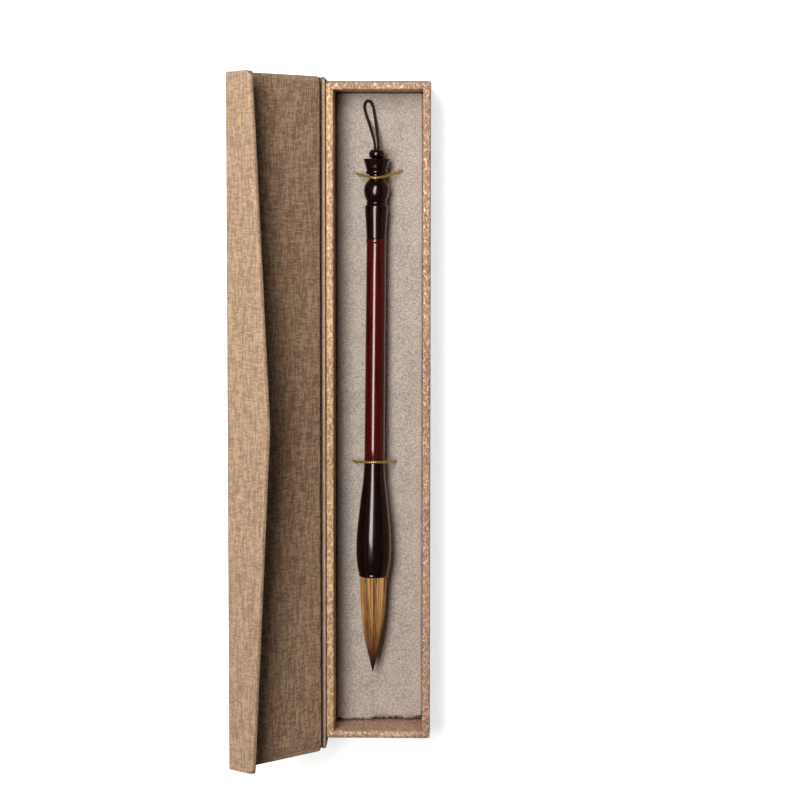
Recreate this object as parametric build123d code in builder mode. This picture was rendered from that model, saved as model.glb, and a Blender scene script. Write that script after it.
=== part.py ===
"""Calligraphy brush box: a linen book-style case with a brush bedded in its tray.

Millimetres. The origin is the centre of the base's underside, +Z up, +Y towards the head
end, where the brush's hanging loop lies, and the lid stands open on the -X side.
"""

import os
from math import cos, hypot, pi, radians, sin, tan

from build123d import *

os.makedirs("parts", exist_ok=True)

# Sheet stock
board_t = 2.4          # greyboard of the case panels
linen_t = 0.4          # outer linen with its glue
lining_t = 0.3         # sheet that lines the lid and the flap
paper_t = 0.3          # embossed paper over the tray walls
turn_in = 6.0          # how far the linen is folded onto a panel's inner face
fit_gap = 0.05         # radial room around a glued peg or disc

# Case
cover_l = 351.0        # every case panel, along Y
tray_w = 54.2
tray_h = 35.0
cover_lip = 4.0        # panels beyond the tray at each end, with the tray in the middle
tray_shift = 1.5       # but the tray is glued this far towards the head end
wall_t = 4.0           # tray wall with its paper on both faces
floor_t = 2.0
corner_r = 3.0         # rounding of the flap's free corners

# Lid and flap, hung on cloth joints
lid_open = 134.0       # how far the lid stands open, from closed
hinge_out = 0.75       # the lid's cloth joint, outside the spine and above the rim
hinge_rise = 3.15
lid_rest_gap = 0.1     # closed lid's lining above the rim
lid_edge = 0.5         # from the cloth joint to the lid's covered edge
front_gap = 0.3        # closed flap's lining in front of the tray
fold_inset = 0.5       # the flap's joint, inside the two outer faces
fold_gap = 5.0         # bare cloth between the joint and the flap's covered edge
fold_end = 1.2         # and between the lid's covered edge and the joint
flap_angle = 90.0      # between the lid's and the flap's inner faces
flap_side = 16.2       # flap's length from its joint at the ends
flap_tip = 28.3        # and at the point of its shallow V
tip_r = 6.0
lining_end = 2.5       # how far the lining stops short of the covered edges
lining_side = 1.0

# Label on the lid
label_w = 23.5
label_l = 125.5
label_t = 0.25
label_head = 52.5      # from the head end of the lid
label_side = 4.2       # off the lid's middle, towards the flap

# Magnets of the front closure
magnet_d = 8.0
magnet_t = 1.2
magnet_drop = 14.0     # below the rim, with the box closed

# Bed
pad_depth = 24.0       # velvet below the rim
pad_gap = 0.4          # around the pad
velvet_t = 0.6

# Brush: distances from the tip along its axis, and radii
brush_tip_y = -137.6
brush_mid_x = -0.7     # the axis where it crosses Y = 0
brush_yaw = 0.0078     # sideways per length
bed_gap = 0.3          # brush above the velvet
tuft_l = 51.5
tuft_root_r = 7.0
tuft_root_l = 12.0
socket_r = 6.2
glue_l = 2.5
belly_at = 67.8
belly_r = 9.25
head_end = 112.2
head_neck_r = 5.4
ferrule_r = 5.55
ferrule_l = 1.4
shaft_r = 5.15
shaft_l = 113.9
tenon_r = 3.0
tenon_l = 10.5
ring_r = 5.35
ring_l = 2.2
cap_l = 18.0
cap_low_r = 5.1
cap_top_r = 6.15
neck_r = 5.5
neck_l = 1.6
bulb_l = 11.1
bulb_r = 6.7
waist_r = 4.0
waist_l = 3.0
band_r = 5.8
band_l = 2.6
crown_l = 5.4
crown_low_r = 5.75
crown_top_r = 7.2
bead_r = 4.2
bead_l = 5.3
dowel_r = 2.0
knot_r = 2.2
knot_l = 1.8
knot_sink = 0.5        # knot below the crown's top
eye_r = 1.7           # hole through the bead for the two strands of the loop

# Cords
loop_d = 1.5
loop_lead = 1.8        # straight out of the bead
loop_points = [        # the loop's way over the bed: x, y, height above lying on it
    (-1.9, 147.0, 4.3),
    (-3.5, 152.8, 1.5),
    (-5.0, 157.6, 0.2),
    (-5.95, 161.4, 0.0),
    (-5.2, 164.6, 0.0),
    (-2.7, 164.9, 0.0),
    (-1.2, 161.4, 0.0),
    (-0.5, 155.4, 0.4),
    (0.3, 149.2, 2.5),
]
elastic_d = 1.5
elastic_room = 0.5     # between an elastic and what it holds
elastic_hole = 1.3     # radius of its hole through the bed
elastic_knot_r = 1.9
elastic_bend_r = 2.0   # where an elastic comes out of the bed
elastic_low = 0.25     # the upper elastic crosses this far below the waist's middle
upper_span = 12.6      # half the distance between an elastic's holes
lower_span = 11.5
upper_shift = 1.0      # the holes' middle, to the front of the brush's axis
lower_shift = -0.25
upper_lead = 2.6       # the holes lie this far nearer the head end
lower_lead = -1.0

# Worked out from the values above
skin = linen_t + board_t
case_w = skin + tray_w
back_x = -case_w / 2
tray_x = back_x + skin
front_x = tray_x + tray_w
rim_z = skin + tray_h
pad_z = rim_z - pad_depth
half_l = cover_l / 2
tray_head = half_l - cover_lip + tray_shift
tray_foot = cover_lip + tray_shift - half_l
bed_z = skin + floor_t
foam_t = pad_z - velvet_t - bed_z
elastic_end_z = bed_z + 2 * elastic_knot_r

panel_t = linen_t + board_t + linen_t + lining_t
lid_in = hinge_rise - lid_rest_gap
lid_out = lid_in - panel_t
joint_u = front_x + front_gap + panel_t - fold_inset - back_x + hinge_out
joint_n = lid_out + fold_inset
lid_end = joint_u - fold_end

lid_dir = Vector(cos(radians(lid_open)), 0, sin(radians(lid_open)))
lid_inward = Vector(sin(radians(lid_open)), 0, -cos(radians(lid_open)))
flap_rise = radians(lid_open - 180 + flap_angle)
flap_dir = Vector(cos(flap_rise), 0, sin(flap_rise))
flap_inward = Vector(sin(flap_rise), 0, -cos(flap_rise))
hinge = Vector(back_x - hinge_out, 0, rim_z + hinge_rise)
joint = hinge + lid_dir * joint_u + lid_inward * joint_n
foot_end = Vector(0, -half_l, 0)
case_section = Plane(origin=foot_end, x_dir=(1, 0, 0), z_dir=(0, 1, 0))
lid_section = Plane(origin=hinge + foot_end, x_dir=lid_dir, z_dir=(0, 1, 0))
flap_section = Plane(origin=joint + foot_end, x_dir=flap_dir, z_dir=(0, 1, 0))
lid_face = Plane(origin=hinge, x_dir=lid_dir, z_dir=lid_inward)
lid_back = Plane(origin=hinge, x_dir=lid_dir, z_dir=lid_inward * -1)
flap_face = Plane(origin=joint, x_dir=flap_dir, z_dir=flap_inward)
flap_magnet_s = hinge_rise - joint_n + magnet_drop

ferrule_end = head_end + ferrule_l
shaft_end = ferrule_end + shaft_l
ring_end = shaft_end + ring_l
cap_end = ring_end + cap_l
neck_end = cap_end + neck_l
bulb_end = neck_end + bulb_l
waist_end = bulb_end + waist_l
band_end = waist_end + band_l
crown_end = band_end + crown_l
dowel_foot = ring_end + tenon_l + fit_gap
dowel_end = band_end + crown_l / 2
bead_end = crown_end + bead_l
knot_end = crown_end - knot_sink
brush_fall = (crown_top_r - belly_r) / (crown_end - belly_at)
brush_dir = Vector(brush_yaw, 1, brush_fall).normalized()
brush_tip = Vector(
    brush_mid_x + brush_yaw * brush_tip_y,
    brush_tip_y,
    pad_z + bed_gap + belly_r - brush_fall * belly_at,
)
brush_plane = Plane(origin=brush_tip, x_dir=(1, -brush_yaw, 0), z_dir=brush_dir)
brush_profile = Plane(
    origin=brush_tip, x_dir=brush_plane.x_dir, z_dir=brush_plane.y_dir * -1
)
brush_axis = Axis(brush_tip, brush_dir)


def keep(piece, name):
    """Label a finished piece and write it to its own file."""
    piece.part.label = name
    export_step(piece.part, f"parts/{name}.step")


def span(x0, x1, y0, y1):
    """A rectangle between two corners, in the sketch that is open."""
    with Locations(((x0 + x1) / 2, (y0 + y1) / 2)):
        Rectangle(x1 - x0, y1 - y0)


# ---------------------------------------------------------------- case


def make_base_board():
    with BuildPart() as base_board:
        with BuildSketch(Plane.XY.offset(linen_t)):
            span(back_x + linen_t, front_x - linen_t, linen_t - half_l, half_l - linen_t)
        extrude(amount=board_t)
    keep(base_board, "base_board")


def make_base_linen():
    """Linen under the base, up its edges and onto the two ledges beyond the tray."""
    with BuildPart() as base_linen:
        with BuildSketch():
            span(back_x, front_x, -half_l, half_l)
        extrude(amount=skin)
        with BuildSketch(Plane.XY.offset(linen_t)):
            span(back_x + linen_t, front_x - linen_t, linen_t - half_l, half_l - linen_t)
        extrude(amount=board_t, mode=Mode.SUBTRACT)
        with BuildSketch(Plane.XY.offset(skin)):
            span(tray_x, front_x, tray_head, half_l)
            span(tray_x, front_x, -half_l, tray_foot)
        extrude(amount=linen_t)
    keep(base_linen, "base_linen")


def make_spine_board():
    with BuildPart() as spine_board:
        with BuildSketch(Plane.XY.offset(skin)):
            span(back_x + linen_t, tray_x, linen_t - half_l, half_l - linen_t)
        extrude(amount=tray_h - linen_t)
    keep(spine_board, "spine_board")


def make_spine_linen():
    with BuildPart() as spine_linen:
        with BuildSketch(Plane.XY.offset(skin)):
            span(back_x, tray_x, -half_l, half_l)
        extrude(amount=tray_h)
        with BuildSketch(Plane.XY.offset(skin)):
            span(back_x + linen_t, tray_x, linen_t - half_l, half_l - linen_t)
        extrude(amount=tray_h - linen_t, mode=Mode.SUBTRACT)
    keep(spine_linen, "spine_linen")


def make_lid_hinge_cloth():
    """The cloth between the spine's top edge and the lid's outer face."""
    outline = [
        Vector(back_x, -half_l, rim_z),
        Vector(back_x + linen_t, -half_l, rim_z),
        lid_section.from_local_coords((lid_edge, lid_out + linen_t, 0)),
        lid_section.from_local_coords((lid_edge, lid_out, 0)),
    ]
    with BuildPart() as lid_hinge_cloth:
        with BuildSketch(case_section):
            Polygon(*[case_section.to_local_coords(p) for p in outline], align=None)
        extrude(amount=cover_l)
    keep(lid_hinge_cloth, "lid_hinge_cloth")


# ---------------------------------------------------------------- tray


def make_tray_floor():
    with BuildPart() as tray_floor:
        with BuildSketch(Plane.XY.offset(skin)):
            span(tray_x + wall_t, front_x - wall_t, tray_foot + wall_t, tray_head - wall_t)
        extrude(amount=floor_t)
    keep(tray_floor, "tray_floor")


def make_end_wall(name, y0):
    """A head or foot wall, which runs the tray's whole width, and its paper."""
    with BuildPart() as wall:
        with BuildSketch(Plane.XY.offset(skin)):
            span(tray_x + paper_t, front_x - paper_t, y0 + paper_t, y0 + wall_t - paper_t)
        extrude(amount=tray_h - paper_t)
    keep(wall, f"tray_wall_{name}")
    with BuildPart() as paper:
        with BuildSketch(Plane.XY.offset(skin)):
            span(tray_x, front_x, y0, y0 + wall_t)
        extrude(amount=tray_h)
        with BuildSketch(Plane.XY.offset(skin)):
            span(tray_x + paper_t, front_x - paper_t, y0 + paper_t, y0 + wall_t - paper_t)
        extrude(amount=tray_h - paper_t, mode=Mode.SUBTRACT)
    keep(paper, f"tray_paper_{name}")


def make_side_wall(name, x0, magnet_face=None):
    """A wall between the end walls, and its paper. The front wall takes a magnet."""
    y0 = tray_foot + wall_t
    y1 = tray_head - wall_t
    with BuildPart() as wall:
        with BuildSketch(Plane.XY.offset(skin)):
            span(x0 + paper_t, x0 + wall_t - paper_t, y0, y1)
        extrude(amount=tray_h - paper_t)
        if magnet_face:
            with BuildSketch(magnet_face):
                Circle(magnet_d / 2 + fit_gap)
            extrude(amount=-magnet_t, mode=Mode.SUBTRACT)
    keep(wall, f"tray_wall_{name}")
    with BuildPart() as paper:
        with BuildSketch(Plane.XY.offset(skin)):
            span(x0, x0 + wall_t, y0, y1)
        extrude(amount=tray_h)
        with BuildSketch(Plane.XY.offset(skin)):
            span(x0 + paper_t, x0 + wall_t - paper_t, y0, y1)
        extrude(amount=tray_h - paper_t, mode=Mode.SUBTRACT)
    keep(paper, f"tray_paper_{name}")


def make_magnet(name, face, depth):
    """A disc magnet let into a board from one of its faces."""
    with BuildPart() as magnet:
        with BuildSketch(face):
            Circle(magnet_d / 2)
        extrude(amount=-depth)
    keep(magnet, name)


# ---------------------------------------------------------------- lid


def make_lid_board():
    with BuildPart() as lid_board:
        with BuildSketch(lid_section.offset(linen_t)):
            span(lid_edge + linen_t, lid_end - linen_t, lid_out + linen_t, lid_out + skin)
        extrude(amount=cover_l - 2 * linen_t)
    keep(lid_board, "lid_board")


def lid_window(edge):
    """The lid's inner face less a margin, in the sketch that is open."""
    span(lid_edge + edge, lid_end - edge, edge - half_l, half_l - edge)


def make_lid_linen():
    with BuildPart() as lid_linen:
        with BuildSketch(lid_section):
            span(lid_edge, lid_end, lid_out, lid_out + skin + linen_t)
        extrude(amount=cover_l)
        with BuildSketch(lid_section.offset(linen_t)):
            span(lid_edge + linen_t, lid_end - linen_t, lid_out + linen_t, lid_out + skin)
        extrude(amount=cover_l - 2 * linen_t, mode=Mode.SUBTRACT)
        with BuildSketch(lid_face.offset(lid_out + skin)):
            lid_window(turn_in)
        extrude(amount=linen_t, mode=Mode.SUBTRACT)
    keep(lid_linen, "lid_linen")


def make_lid_lining():
    with BuildPart() as lid_lining:
        with BuildSketch(lid_face.offset(lid_out + skin + linen_t)):
            span(
                lid_edge + lining_side, lid_end - lining_end,
                lining_end - half_l, half_l - lining_end,
            )
        extrude(amount=lining_t)
        with BuildSketch(lid_face.offset(lid_out + skin)):
            lid_window(turn_in)
        extrude(amount=linen_t)
    keep(lid_lining, "lid_lining")


def make_label_card():
    middle_u = case_w / 2 + hinge_out + (front_gap + panel_t) / 2 + label_side
    with BuildPart() as label_card:
        with BuildSketch(lid_back.offset(-lid_out)):
            with Locations((middle_u, half_l - label_head - label_l / 2)):
                Rectangle(label_w, label_l)
        extrude(amount=label_t)
    keep(label_card, "label_card")


# ---------------------------------------------------------------- flap


def flap_outline(edge):
    """The flap's shallow V, drawn a margin inside its covered outline."""
    Polygon(
        (fold_gap + edge, edge - half_l),
        (flap_side - edge, edge - half_l),
        (flap_tip - edge, 0),
        (flap_side - edge, half_l - edge),
        (fold_gap + edge, half_l - edge),
        align=None,
    )


def round_flap(sketch, edge):
    """Round the flap's free corners and its point, less the margin."""
    points = sketch.vertices().sort_by(Axis(joint, flap_dir))
    fillet(points[-1], tip_r)
    fillet(points[-3:-1], max(corner_r - edge, linen_t))


def make_flap_hinge_cloth():
    """The cloth round the corner between the lid's edge and the flap's edge."""
    turn = radians(flap_angle) / 2
    bisector = (flap_dir - lid_dir).normalized() * -1

    def corner(inset):
        return joint + foot_end + bisector * ((fold_inset - inset) / sin(turn))

    outline = [
        lid_section.from_local_coords((lid_end, lid_out, 0)),
        corner(0),
        flap_section.from_local_coords((fold_gap, -fold_inset, 0)),
        flap_section.from_local_coords((fold_gap, linen_t - fold_inset, 0)),
        corner(linen_t),
        lid_section.from_local_coords((lid_end, lid_out + linen_t, 0)),
    ]
    with BuildPart() as flap_hinge_cloth:
        with BuildSketch(case_section):
            Polygon(*[case_section.to_local_coords(p) for p in outline], align=None)
        extrude(amount=cover_l)
    keep(flap_hinge_cloth, "flap_hinge_cloth")


def make_flap_board():
    with BuildPart() as flap_board:
        with BuildSketch(flap_face.offset(linen_t - fold_inset)) as outline:
            flap_outline(linen_t)
            round_flap(outline, linen_t)
        extrude(amount=board_t)
        with BuildSketch(flap_face.offset(skin - fold_inset)):
            with Locations((flap_magnet_s, 0)):
                Circle(magnet_d / 2 + fit_gap)
        extrude(amount=-magnet_t, mode=Mode.SUBTRACT)
    keep(flap_board, "flap_board")


def make_flap_linen():
    with BuildPart() as flap_linen:
        with BuildSketch(flap_face.offset(-fold_inset)) as outline:
            flap_outline(0)
            round_flap(outline, 0)
        extrude(amount=skin + linen_t)
        with BuildSketch(flap_face.offset(linen_t - fold_inset)) as outline:
            flap_outline(linen_t)
            round_flap(outline, linen_t)
        extrude(amount=board_t, mode=Mode.SUBTRACT)
        with BuildSketch(flap_face.offset(skin - fold_inset)):
            flap_outline(turn_in / 2)
        extrude(amount=linen_t, mode=Mode.SUBTRACT)
    keep(flap_linen, "flap_linen")


def make_flap_lining():
    with BuildPart() as flap_lining:
        with BuildSketch(flap_face.offset(skin + linen_t - fold_inset)):
            flap_outline(lining_end)
        extrude(amount=lining_t)
        with BuildSketch(flap_face.offset(skin - fold_inset)):
            flap_outline(turn_in / 2)
        extrude(amount=linen_t)
    keep(flap_lining, "flap_lining")


# ---------------------------------------------------------------- bed


def elastic_seats():
    """Where each elastic crosses the brush: its place, height, radius and holes."""
    seats = []
    for at, radius, half, shift, lead in (
        (bulb_end + waist_l / 2 - elastic_low, waist_r, upper_span, upper_shift, upper_lead),
        (head_end + ferrule_l / 2, ferrule_r, lower_span, lower_shift, lower_lead),
    ):
        centre = brush_tip + brush_dir * at
        seats.append((centre, radius + elastic_room + elastic_d / 2, half, shift, lead))
    return seats


def elastic_holes():
    """The elastics' holes through the bed, seen from above."""
    return [
        (centre.X + shift + side * half, centre.Y + lead)
        for centre, _, half, shift, lead in elastic_seats()
        for side in (-1, 1)
    ]


def bed_sketch(edge):
    """The bed's plan, a margin inside the tray's walls, with the elastics' holes."""
    inset = wall_t + edge
    span(tray_x + inset, front_x - inset, tray_foot + inset, tray_head - inset)
    with Locations(*elastic_holes()):
        Circle(elastic_hole, mode=Mode.SUBTRACT)


def make_foam_pad():
    with BuildPart() as foam_pad:
        with BuildSketch(Plane.XY.offset(bed_z)):
            bed_sketch(pad_gap + velvet_t)
        extrude(amount=foam_t)
        with BuildSketch(Plane.XY.offset(bed_z)):
            with Locations(*elastic_holes()):
                Circle(elastic_knot_r + fit_gap)
        extrude(amount=2 * elastic_knot_r, mode=Mode.SUBTRACT)
    keep(foam_pad, "foam_pad")


def make_velvet_cover():
    """Velvet over the foam and down its sides."""
    inset = wall_t + pad_gap + velvet_t
    with BuildPart() as velvet_cover:
        with BuildSketch(Plane.XY.offset(bed_z)):
            bed_sketch(pad_gap)
        extrude(amount=foam_t + velvet_t)
        with BuildSketch(Plane.XY.offset(bed_z)):
            span(tray_x + inset, front_x - inset, tray_foot + inset, tray_head - inset)
        extrude(amount=foam_t, mode=Mode.SUBTRACT)
    keep(velvet_cover, "velvet_cover")


# ---------------------------------------------------------------- cords


def corner_radii(points, largest=None):
    """The radius at each corner of a route: as large as its shorter run allows."""
    radii = []
    for a, b, c in zip(points, points[1:], points[2:]):
        before = b - a
        after = c - b
        half_turn = radians(before.get_angle(after)) / 2
        radii.append(0.45 * min(before.length, after.length) / tan(half_turn))
    for i, limit in (largest or {}).items():
        radii[i] = min(radii[i], limit)
    return radii


def make_cord(name, points, diameter, largest=None):
    """A round cord along straight runs joined by tangent arcs."""
    radii = corner_radii(points, largest)
    with BuildPart() as cord:
        with BuildLine():
            route = FilletPolyline(*points, radius=radii)
        with BuildSketch(Plane(origin=points[0], z_dir=points[1] - points[0])):
            Circle(diameter / 2)
        sweep(path=route)
    keep(cord, name)
    share = cord.part.volume / (route.length * pi * diameter**2 / 4)
    print(name, "radii", [round(r, 2) for r in radii])
    print(name, "length", round(route.length, 1), "volume against section", round(share, 4))


def elastic_route(centre, radius, half, shift, lead):
    """Up out of the bed, over the brush and back down, in six points."""
    foot = pad_z + elastic_d / 2
    top = centre.Z + radius
    rise = top - foot
    points = []
    for side in (-1, 1):
        away = half + side * shift
        # the slanting run touches a circle of the given radius round the brush
        reach = away
        for _ in range(20):
            reach = radius * (hypot(away - reach, rise) - (away - reach)) / rise
        x = centre.X + side * away
        y = centre.Y + lead
        run = [
            Vector(x, y, elastic_end_z),
            Vector(x, y, foot),
            Vector(centre.X + side * reach, centre.Y, top),
        ]
        points += run if side < 0 else run[::-1]
    return points


def make_elastics():
    bends = {0: elastic_bend_r, 3: elastic_bend_r}
    for name, seat in zip(("upper", "lower"), elastic_seats()):
        make_cord(f"elastic_{name}", elastic_route(*seat), elastic_d, bends)


def make_elastic_knots():
    """The knots that hold the elastics' ends under the bed."""
    with BuildPart() as elastic_knots:
        with BuildSketch(Plane.XY.offset(bed_z)):
            with Locations(*elastic_holes()):
                Circle(elastic_knot_r)
        extrude(amount=2 * elastic_knot_r)
        chamfer(elastic_knots.edges().group_by(Axis.Z)[0], elastic_knot_r / 3)
    keep(elastic_knots, "elastic_knots")


def on_brush(side, along, up=0.0):
    """A point given by its place along the brush's axis."""
    return brush_plane.from_local_coords((side, -up, along))


def make_hanging_loop():
    """A thin cord from the crown's knot out through the bead, and back."""
    strand = loop_d / 2 + fit_gap
    lying = pad_z + loop_d / 2 + fit_gap
    points = [on_brush(-strand, knot_end), on_brush(-strand, bead_end + loop_lead)]
    points += [Vector(x, y, lying + z) for x, y, z in loop_points]
    points += [on_brush(strand, bead_end + 1.4 * loop_lead), on_brush(strand, knot_end)]
    make_cord("hanging_loop", points, loop_d)


# ---------------------------------------------------------------- brush


def turned(name, outline, bores=()):
    """A turned piece: its outline from (radius, place) points, and its bores.

    Each bore is (radius, from, to). A list inside the outline is a spline's points.
    """
    with BuildPart() as piece:
        with BuildSketch(brush_profile):
            with BuildLine():
                first = outline[0]
                last = first
                for step in outline[1:]:
                    if isinstance(step, list):
                        Spline(last, *step)
                        last = step[-1]
                    else:
                        Line(last, step)
                        last = step
                Line(last, (0, last[1]))
                Line((0, last[1]), (0, first[1]))
                Line((0, first[1]), first)
            make_face()
        revolve(axis=brush_axis)
        for radius, start, end in bores:
            with BuildSketch(brush_plane.offset(start)):
                Circle(radius)
            extrude(amount=end - start, mode=Mode.SUBTRACT)
    keep(piece, name)


def make_hair_tuft():
    """The hair: a long point that swells to its root, and the root in its socket."""
    root_r = socket_r - fit_gap
    with BuildPart() as hair_tuft:
        with BuildSketch(brush_profile):
            with BuildLine():
                Spline(
                    (0, 0), (1.9, tuft_l * 0.16), (4.0, tuft_l * 0.32),
                    (5.7, tuft_l * 0.53), (6.6, tuft_l * 0.75), (tuft_root_r, tuft_l),
                )
                Line((tuft_root_r, tuft_l), (root_r, tuft_l))
                Line((root_r, tuft_l), (root_r, tuft_l + tuft_root_l))
                Line((root_r, tuft_l + tuft_root_l), (0, tuft_l + tuft_root_l))
                Line((0, tuft_l + tuft_root_l), (0, 0))
            make_face()
        revolve(axis=brush_axis)
    keep(hair_tuft, "hair_tuft")


def make_brush():
    hole = fit_gap  # added to every bored radius
    root_end = tuft_l + tuft_root_l
    make_hair_tuft()
    turned("tuft_glue_plug", [(socket_r - hole, root_end), (socket_r - hole, root_end + glue_l)])
    turned(
        "head_bulb",
        [
            (tuft_root_r + 0.2, tuft_l),
            [(8.1, tuft_l + 2.6), (9.0, tuft_l + 8.8), (belly_r, belly_at), (8.95, belly_at + 7.5),
             (7.45, belly_at + 22.4), (head_neck_r + 0.4, belly_at + 36.5), (head_neck_r, head_end)],
        ],
        [(socket_r, tuft_l, root_end + glue_l), (tenon_r + hole, ferrule_end - tenon_l, head_end)],
    )
    turned(
        "ferrule_ring",
        [(ferrule_r, head_end), (ferrule_r, ferrule_end)],
        [(tenon_r + hole, head_end, ferrule_end)],
    )
    turned(
        "shaft",
        [
            (tenon_r, ferrule_end - tenon_l + hole), (tenon_r, ferrule_end),
            (shaft_r, ferrule_end), (shaft_r, shaft_end), (tenon_r, shaft_end),
            (tenon_r, ring_end + tenon_l),
        ],
    )
    turned(
        "shaft_ring",
        [(ring_r, shaft_end), (ring_r, ring_end)],
        [(tenon_r + hole, shaft_end, ring_end)],
    )
    turned(
        "end_cap",
        [(cap_low_r, ring_end), (cap_top_r, cap_end - 0.6), (cap_top_r - 0.6, cap_end)],
        [(tenon_r + hole, ring_end, dowel_foot), (dowel_r + hole, dowel_foot, cap_end)],
    )
    turned("neck_ring", [(neck_r, cap_end), (neck_r, neck_end)], [(dowel_r + hole, cap_end, neck_end)])
    turned(
        "upper_bulb",
        [
            (neck_r - 0.3, neck_end),
            [(bulb_r - 0.35, neck_end + bulb_l * 0.28), (bulb_r, neck_end + bulb_l * 0.58),
             (waist_r + 0.6, bulb_end)],
        ],
        [(dowel_r + hole, neck_end, bulb_end)],
    )
    turned(
        "waist_collar",
        [(waist_r, bulb_end), (waist_r, waist_end)],
        [(dowel_r + hole, bulb_end, waist_end)],
    )
    turned(
        "crown_band",
        [(band_r, waist_end), (band_r, band_end)],
        [(dowel_r + hole, waist_end, band_end)],
    )
    turned(
        "crown",
        [
            (crown_low_r, band_end),
            [(crown_low_r + 0.5, dowel_end), (crown_top_r, crown_end)],
        ],
        [(dowel_r + hole, band_end, dowel_end), (knot_r + hole, dowel_end, crown_end)],
    )
    turned("top_dowel", [(dowel_r, dowel_foot), (dowel_r, dowel_end)])
    turned("loop_knot", [(knot_r, knot_end - knot_l), (knot_r, knot_end)])
    turned(
        "finial_bead",
        [
            (eye_r + 0.5, crown_end),
            [(bead_r - 0.7, crown_end + bead_l * 0.17), (bead_r, crown_end + bead_l / 2),
             (bead_r - 0.7, crown_end + bead_l * 0.83), (eye_r + 0.5, bead_end)],
        ],
        [(eye_r, crown_end, bead_end)],
    )


front_wall_face = Plane(
    origin=(front_x - paper_t, 0, rim_z - magnet_drop), x_dir=(0, 1, 0), z_dir=(1, 0, 0)
)
flap_pocket = Plane(
    origin=flap_face.from_local_coords((flap_magnet_s, 0, skin - fold_inset)),
    x_dir=flap_dir, z_dir=flap_inward,
)

make_base_board()
make_base_linen()
make_spine_board()
make_spine_linen()
make_lid_hinge_cloth()
make_tray_floor()
make_end_wall("foot", tray_foot)
make_end_wall("head", tray_head - wall_t)
make_side_wall("left", tray_x)
make_side_wall("right", front_x - wall_t, front_wall_face)
make_magnet("tray_magnet", front_wall_face, magnet_t)
make_lid_board()
make_lid_linen()
make_lid_lining()
make_label_card()
make_flap_hinge_cloth()
make_flap_board()
make_flap_linen()
make_flap_lining()
make_magnet("flap_magnet", flap_pocket, magnet_t)
make_foam_pad()
make_velvet_cover()
make_elastics()
make_elastic_knots()
make_hanging_loop()
make_brush()
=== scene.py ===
"""Looks of a linen-covered calligraphy brush box: cloth, paper, velvet, lacquer and hair over its model.

Every shape is made in millimetres in its own panel's or turning's directions, and is set down in the
frame's metres at the end, so that each size reads as a maker would measure it.
"""

import logging
import math
import random
from collections.abc import Callable, Iterable, Sequence
from dataclasses import dataclass
from enum import Enum
from functools import cache

import bmesh
import bpy
from bpy.types import Material, NodeSocket, NodeTree, Object, ShaderNode
from mathutils import Matrix, Vector, geometry, noise
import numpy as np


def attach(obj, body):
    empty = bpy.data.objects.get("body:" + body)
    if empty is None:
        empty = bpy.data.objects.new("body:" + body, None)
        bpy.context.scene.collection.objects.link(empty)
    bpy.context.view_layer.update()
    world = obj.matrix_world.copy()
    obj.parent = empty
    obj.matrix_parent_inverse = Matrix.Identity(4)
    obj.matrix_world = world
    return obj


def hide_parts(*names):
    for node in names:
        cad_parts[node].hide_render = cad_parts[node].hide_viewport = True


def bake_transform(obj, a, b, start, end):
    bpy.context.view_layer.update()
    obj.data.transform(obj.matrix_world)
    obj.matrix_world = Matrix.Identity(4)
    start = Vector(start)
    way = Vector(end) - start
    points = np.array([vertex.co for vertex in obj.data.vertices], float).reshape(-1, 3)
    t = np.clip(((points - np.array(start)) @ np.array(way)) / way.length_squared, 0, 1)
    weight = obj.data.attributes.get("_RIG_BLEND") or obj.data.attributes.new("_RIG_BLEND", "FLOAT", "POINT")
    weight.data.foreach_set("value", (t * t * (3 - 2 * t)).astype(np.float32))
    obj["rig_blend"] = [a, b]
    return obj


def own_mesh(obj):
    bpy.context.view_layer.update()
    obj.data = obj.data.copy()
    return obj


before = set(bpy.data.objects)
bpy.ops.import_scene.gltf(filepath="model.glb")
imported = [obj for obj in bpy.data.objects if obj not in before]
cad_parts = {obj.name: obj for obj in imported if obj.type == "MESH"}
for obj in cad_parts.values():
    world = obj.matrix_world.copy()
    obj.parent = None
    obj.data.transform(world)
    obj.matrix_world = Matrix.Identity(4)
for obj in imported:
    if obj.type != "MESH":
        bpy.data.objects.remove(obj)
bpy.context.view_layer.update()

LOG = logging.getLogger("brush_box")
MM = 0.001
ALONG = Vector((0.0, 1.0, 0.0))
Colour = tuple[float, float, float, float]
Shape = bmesh.types.BMesh


# ---------------------------------------------------------------- node trees


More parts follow.
